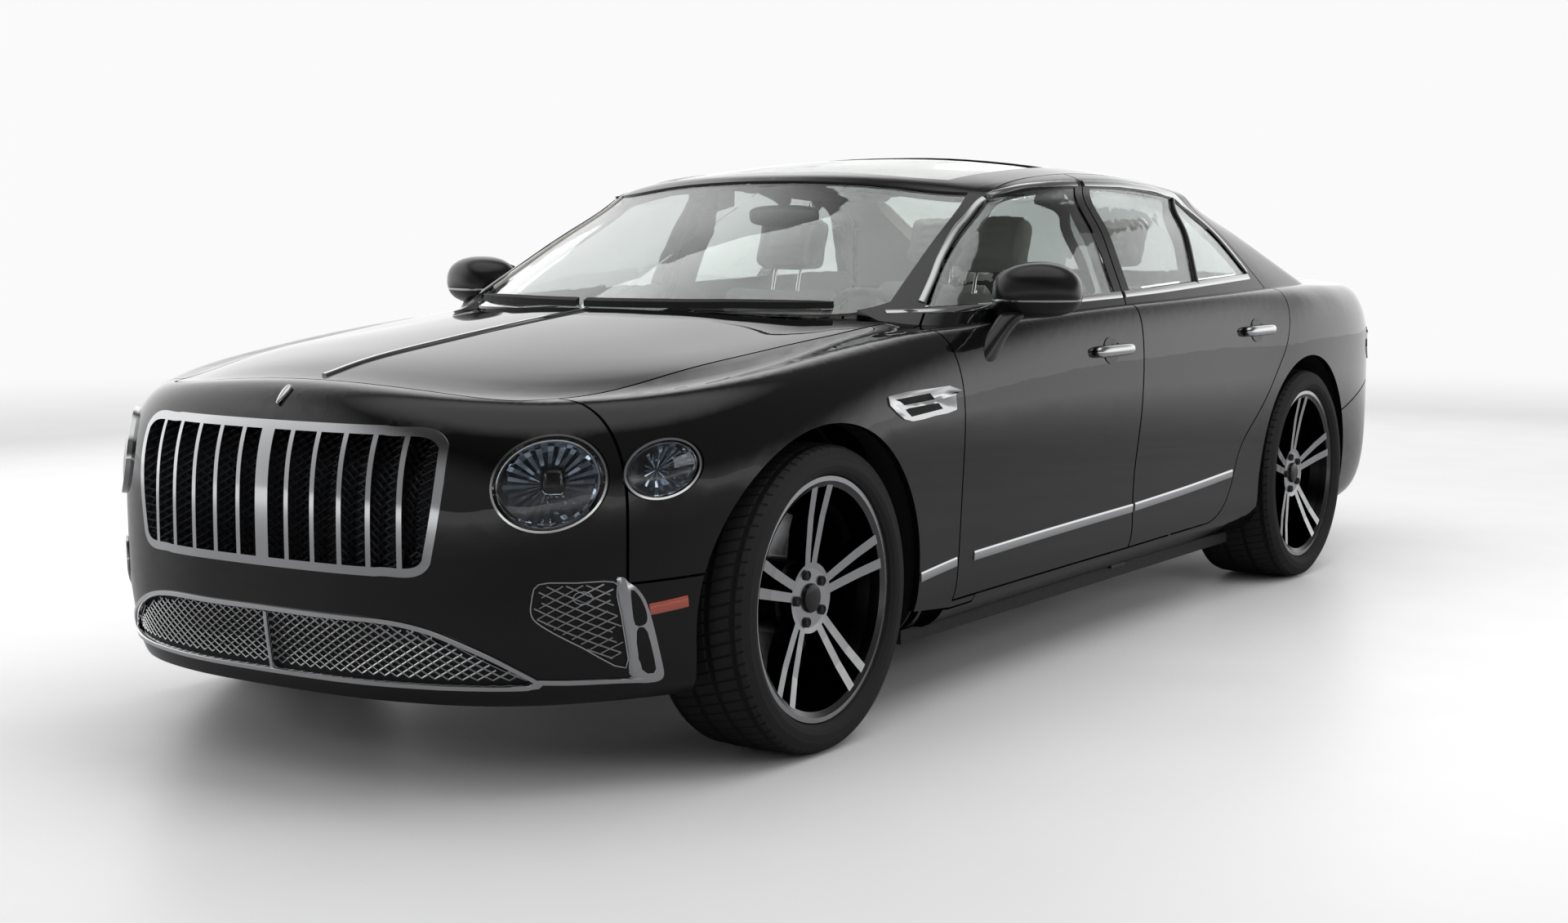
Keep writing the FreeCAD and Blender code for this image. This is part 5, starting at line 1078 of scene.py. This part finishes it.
def cushion(name, low, high, lean, about, body, key, swell=0.016, voxel=0.014):
    """A stuffed form: a block, remeshed, blown up a little as cloth, capped and smoothed."""
    bpy.ops.object.select_all(action="DESELECT")
    middle = [(a + b) / 2 for a, b in zip(low, high)]
    size = [b - a for a, b in zip(low, high)]
    bpy.ops.mesh.primitive_cube_add(size=1, location=middle, scale=size)
    obj = bpy.context.object
    obj.name = name
    bpy.ops.object.transform_apply(location=True, rotation=True, scale=True)
    modified(obj, "round", "BEVEL", width=min(size) * 0.34, segments=4)
    modified(obj, "even", "REMESH", mode="VOXEL", voxel_size=voxel)
    start = [v.co.copy() for v in obj.data.vertices]
    cloth = obj.modifiers.new("stuffing", "CLOTH")
    cloth.settings.use_pressure = True
    cloth.settings.uniform_pressure_force = 4.0
    cloth.settings.effector_weights.gravity = 0
    cloth.settings.quality = 4
    scene = bpy.context.scene
    for step in range(1, 15):
        scene.frame_set(step)
    bpy.context.view_layer.objects.active = obj
    obj.select_set(True)
    bpy.ops.object.modifier_apply(modifier="stuffing")
    scene.frame_set(1)
    for v, rest in zip(obj.data.vertices, start):
        way = v.co - rest
        if way.length > swell:
            v.co = rest + way * (swell / way.length)
    seams(obj, low, high)
    back = Matrix.Translation([-c for c in about])
    turn = Matrix.Translation(about) @ Matrix.Rotation(math.radians(lean), 4, "X") @ back
    obj.data.transform(turn)
    modified(obj, "soften", "SUBSURF", levels=1, render_levels=1)
    tidy_up(obj, 60)
    dress(obj, key)
    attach(obj, body)
    return obj


def seams(obj, low, high):
    """Sewn channels: lines pressed into the middle panel of a cushion."""
    size = [b - a for a, b in zip(low, high)]
    thin = size.index(min(size))
    across = 0
    along = 3 - thin - across
    for v in obj.data.vertices:
        u = (v.co[across] - low[across]) / size[across]
        w = (v.co[along] - low[along]) / size[along]
        side = abs(v.co[thin] - (low[thin] + high[thin]) / 2) / size[thin]
        if side < 0.3:
            continue
        press = 0.0
        for line in (0.2, 0.8):
            press += math.exp(-((u - line) * size[across] / 0.012) ** 2)
        if 0.2 < u < 0.8:
            press += 0.6 * math.exp(-((((w * 5) % 1) - 0.5) * size[along] / 5 / 0.010) ** 2)
        sign = 1 if v.co[thin] > (low[thin] + high[thin]) / 2 else -1
        v.co[thin] -= sign * 0.009 * min(1.0, press)


class SaloonSeats(bpy.types.Operator):
    """Padded seats: cushions, backs and headrests on their bases."""
    bl_idname = "saloon.seats"
    bl_label = "Seats"

    def execute(self, context):
        for name, x0, x1, y0, y1, foot, node in (
            ("front_left", 0.145, 0.625, -0.570, -0.090, -0.080, "front_seats"),
            ("front_right", -0.625, -0.145, -0.570, -0.090, -0.080, "front_seats"),
            ("rear_left", 0.110, 0.590, 0.400, 0.880, 0.890, "rear_seats"),
            ("rear_right", -0.590, -0.110, 0.400, 0.880, 0.890, "rear_seats"),
        ):
            base = cushion(name + "_cushion", (x0, y0, 0.440), (x1, y1, 0.555), 0, (0, 0, 0),
                           "body", "seat")
            about = (0, foot, 0.500)
            cushion(name + "_back", (x0 + 0.01, foot - 0.055, 0.510),
                    (x1 - 0.01, foot + 0.050, 1.085), SEAT_LEAN, about, "body", "seat")
            middle = (x0 + x1) / 2
            cushion(name + "_headrest", (middle - 0.125, foot - 0.040, 1.150),
                    (middle + 0.125, foot + 0.040, 1.320), SEAT_LEAN, about, "body", "seat",
                    0.010, 0.010)
            lean = math.radians(SEAT_LEAN)
            for k, dx in enumerate((-0.05, 0.05)):
                rings = []
                for z in (1.060, 1.100, 1.180):
                    spot = Vector((middle + dx, foot - math.sin(lean) * (z - 0.5),
                                   0.5 + math.cos(lean) * (z - 0.5)))
                    rings.append(oval(spot, 0.006, 0.006, (1, 0, 0), (0, 1, 0), 2.0, 10))
                lofted(f"{name}_post_{k}", rings, "chrome", "body", 60, 0)
        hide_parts("front_seats")
        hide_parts("rear_seats")
        rings = []
        for z, a, b in ((0.230, 0.58, 0.26), (0.330, 0.60, 0.27), (0.434, 0.62, 0.28)):
            rings.append(oval((0, 0.66, z), a, b, (1, 0, 0), (0, 1, 0), 6.0, 32))
        lofted("rear_seat_base", rings, "trim", "body", 40, 0)
        for x, tag in ((0.385, "l"), (-0.385, "r")):
            rings = []
            for z, a, b in ((0.225, 0.19, 0.15), (0.300, 0.17, 0.14), (0.432, 0.20, 0.19)):
                rings.append(oval((x, -0.33, z), a, b, (1, 0, 0), (0, 1, 0), 5.0, 24))
            lofted("seat_base_" + tag, rings, "trim", "body", 40, 0)
        return {"FINISHED"}


class SaloonStage(bpy.types.Operator):
    """Floor, soft studio lamps, pale room and the camera at the photograph's view."""
    bl_idname = "saloon.stage"
    bl_label = "Stage"

    def execute(self, context):
        scene = context.scene
        scene.view_settings.view_transform = "Standard"
        bpy.ops.object.select_all(action="DESELECT")
        bpy.ops.mesh.primitive_plane_add(size=80, location=(0, 0, 0))
        floor = context.object
        floor.name = "studio_floor"
        mat, tree, shader, place = finish_of("pale_floor_with_painted_reflection_shade", FLOOR_GREY, Roughness=0.35)
        patchy(tree, shader, place, 0.4, 0.30, 0.45)
        # Painted reflection shade: the floor is coloured a darker grey where it is seen in reflections
        # than where the camera sees it directly.
        path = add(tree, "ShaderNodeLightPath")
        tone = add(tree, "ShaderNodeMix", {"data_type": "RGBA"},
                   Factor=path.outputs["Is Glossy Ray"])
        tone.inputs[6].default_value = linear(FLOOR_GREY)
        tone.inputs[7].default_value = linear("#6C6C6E")
        tree.links.new(tone.outputs[2], shader.inputs["Base Color"])
        self.fade(tree, shader, place)
        floor.data.materials.append(mat)
        self.room(scene)
        for name, place, look, size_x, size_y, power in LIGHTS:
            lamp = bpy.data.lights.new(name, "AREA")
            lamp.shape = "RECTANGLE"
            lamp.size = size_x
            lamp.size_y = size_y
            lamp.energy = power
            obj = bpy.data.objects.new(name, lamp)
            scene.collection.objects.link(obj)
            obj.location = place
            obj.visible_glossy = False
            obj.rotation_mode = "QUATERNION"
            obj.rotation_quaternion = (Vector(look) - Vector(place)).to_track_quat("-Z", "Y")
        self.camera(scene)
        return {"FINISHED"}

    def fade(self, tree, shader, place):
        """Let the floor run into the white wall far from the car."""
        reach = add(tree, "ShaderNodeVectorMath", {"operation": "LENGTH"}, Vector=place)
        far = add(tree, "ShaderNodeMapRange", {"interpolation_type": "SMOOTHSTEP"},
                  Value=reach.outputs["Value"], From_Min=5.0, From_Max=13.0)
        wall = add(tree, "ShaderNodeEmission", Color=linear(ROOM_WHITE), Strength=1.0)
        mix = add(tree, "ShaderNodeMixShader")
        tree.links.new(far.outputs[0], mix.inputs[0])
        tree.links.new(shader.outputs[0], mix.inputs[1])
        tree.links.new(wall.outputs[0], mix.inputs[2])
        tree.links.new(mix.outputs[0], tree.nodes["Material Output"].inputs[0])

    def room(self, scene):
        """A room that is white to the camera; in the paint it is dark ahead and halfway up."""
        world = bpy.data.worlds.new("pale_room")
        scene.world = world
        world.use_nodes = True
        tree = world.node_tree
        back = tree.nodes["Background"]
        place = add(tree, "ShaderNodeTexCoord").outputs["Generated"]
        parts = add(tree, "ShaderNodeSeparateXYZ", Vector=place)
        tone = add(tree, "ShaderNodeMapRange", Value=parts.outputs[2], From_Min=-0.1,
                   From_Max=0.7, To_Min=0.42, To_Max=0.85)
        ahead = add(tree, "ShaderNodeMapRange", Value=parts.outputs[1], From_Min=-0.85,
                    From_Max=-0.30, To_Min=0.30, To_Max=1.25)
        tilt = add(tree, "ShaderNodeMath", {"operation": "MULTIPLY_ADD"}, _0=parts.outputs[0],
                   _1=0.45, _2=parts.outputs[2])
        low = add(tree, "ShaderNodeMapRange", {"interpolation_type": "SMOOTHSTEP"},
                  Value=tilt.outputs[0], From_Min=0.22, From_Max=0.58, To_Min=1.0, To_Max=0.10)
        walls = add(tree, "ShaderNodeMath", {"operation": "MULTIPLY"}, _0=ahead.outputs[0],
                    _1=low.outputs[0])
        above = add(tree, "ShaderNodeMapRange", {"interpolation_type": "SMOOTHSTEP"},
                    Value=parts.outputs[2], From_Min=0.70, From_Max=0.92, To_Max=0.95)
        mirror = add(tree, "ShaderNodeMath", {"operation": "MAXIMUM"}, _0=walls.outputs[0],
                     _1=above.outputs[0])
        path = add(tree, "ShaderNodeLightPath")
        both = add(tree, "ShaderNodeMix", {"data_type": "FLOAT"}, Factor=path.outputs["Is Glossy Ray"])
        tree.links.new(tone.outputs[0], both.inputs[2])
        tree.links.new(mirror.outputs[0], both.inputs[3])
        mix = add(tree, "ShaderNodeMix", {"data_type": "FLOAT"},
                  Factor=path.outputs["Is Camera Ray"], _3=1.0)
        tree.links.new(both.outputs[0], mix.inputs[2])
        back.inputs["Color"].default_value = linear(ROOM_WHITE)
        tree.links.new(mix.outputs[0], back.inputs["Strength"])

    def camera(self, scene):
        """The camera of the photograph, found from the car's known sizes."""
        yaw, pitch, roll = CAMERA_YAW, CAMERA_PITCH, CAMERA_ROLL
        forward = Vector((math.cos(pitch) * math.cos(yaw), math.cos(pitch) * math.sin(yaw),
                          math.sin(pitch)))
        right = forward.cross(Vector((0, 0, 1))).normalized()
        up = right.cross(forward)
        right, up = (
            right * math.cos(roll) + up * math.sin(roll),
            up * math.cos(roll) - right * math.sin(roll),
        )
        lens = bpy.data.cameras.new("photo_camera")
        lens.lens = CAMERA_LENS
        lens.sensor_width = 36.0
        lens.clip_end = 200
        obj = bpy.data.objects.new("photo_camera", lens)
        scene.collection.objects.link(obj)
        turn = Matrix((right, up, -forward)).transposed()
        obj.matrix_world = Matrix.Translation(CAMERA_PLACE) @ turn.to_4x4()
        scene.camera = obj


class SaloonPanel(bpy.types.Panel):
    """Buttons and settings of the saloon's looks."""
    bl_idname = "VIEW3D_PT_saloon"
    bl_label = "Saloon"
    bl_space_type = "VIEW_3D"
    bl_region_type = "UI"
    bl_category = "Saloon"

    def draw(self, context):
        for operator in OPERATORS:
            self.layout.operator(operator.bl_idname)
        for group in (context.scene.saloon_sizes, context.scene.saloon_colours):
            for name in group.__annotations__:
                self.layout.prop(group, name)


OPERATORS = (
    SaloonPaint, SaloonStage, SaloonSideTrim, SaloonHandles, SaloonMirrors, SaloonNose,
    SaloonLamps, SaloonVents, SaloonTail, SaloonWheels, SaloonLining, SaloonSeats,
)
CLASSES = (SaloonSizes, SaloonColours, *OPERATORS, SaloonPanel)


def register():
    """Register every class and the two groups of settings."""
    for kind in CLASSES:
        bpy.utils.register_class(kind)
    bpy.types.Scene.saloon_sizes = bpy.props.PointerProperty(type=SaloonSizes)
    bpy.types.Scene.saloon_colours = bpy.props.PointerProperty(type=SaloonColours)


def unregister():
    """Take the classes out again."""
    del bpy.types.Scene.saloon_sizes
    del bpy.types.Scene.saloon_colours
    for kind in reversed(CLASSES):
        bpy.utils.unregister_class(kind)


def main():
    """Make the whole look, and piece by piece."""
    register()
    for operator in OPERATORS:
        group, name = operator.bl_idname.split(".")
        getattr(getattr(bpy.ops, group), name)()


if __name__ == "__main__":
    main()
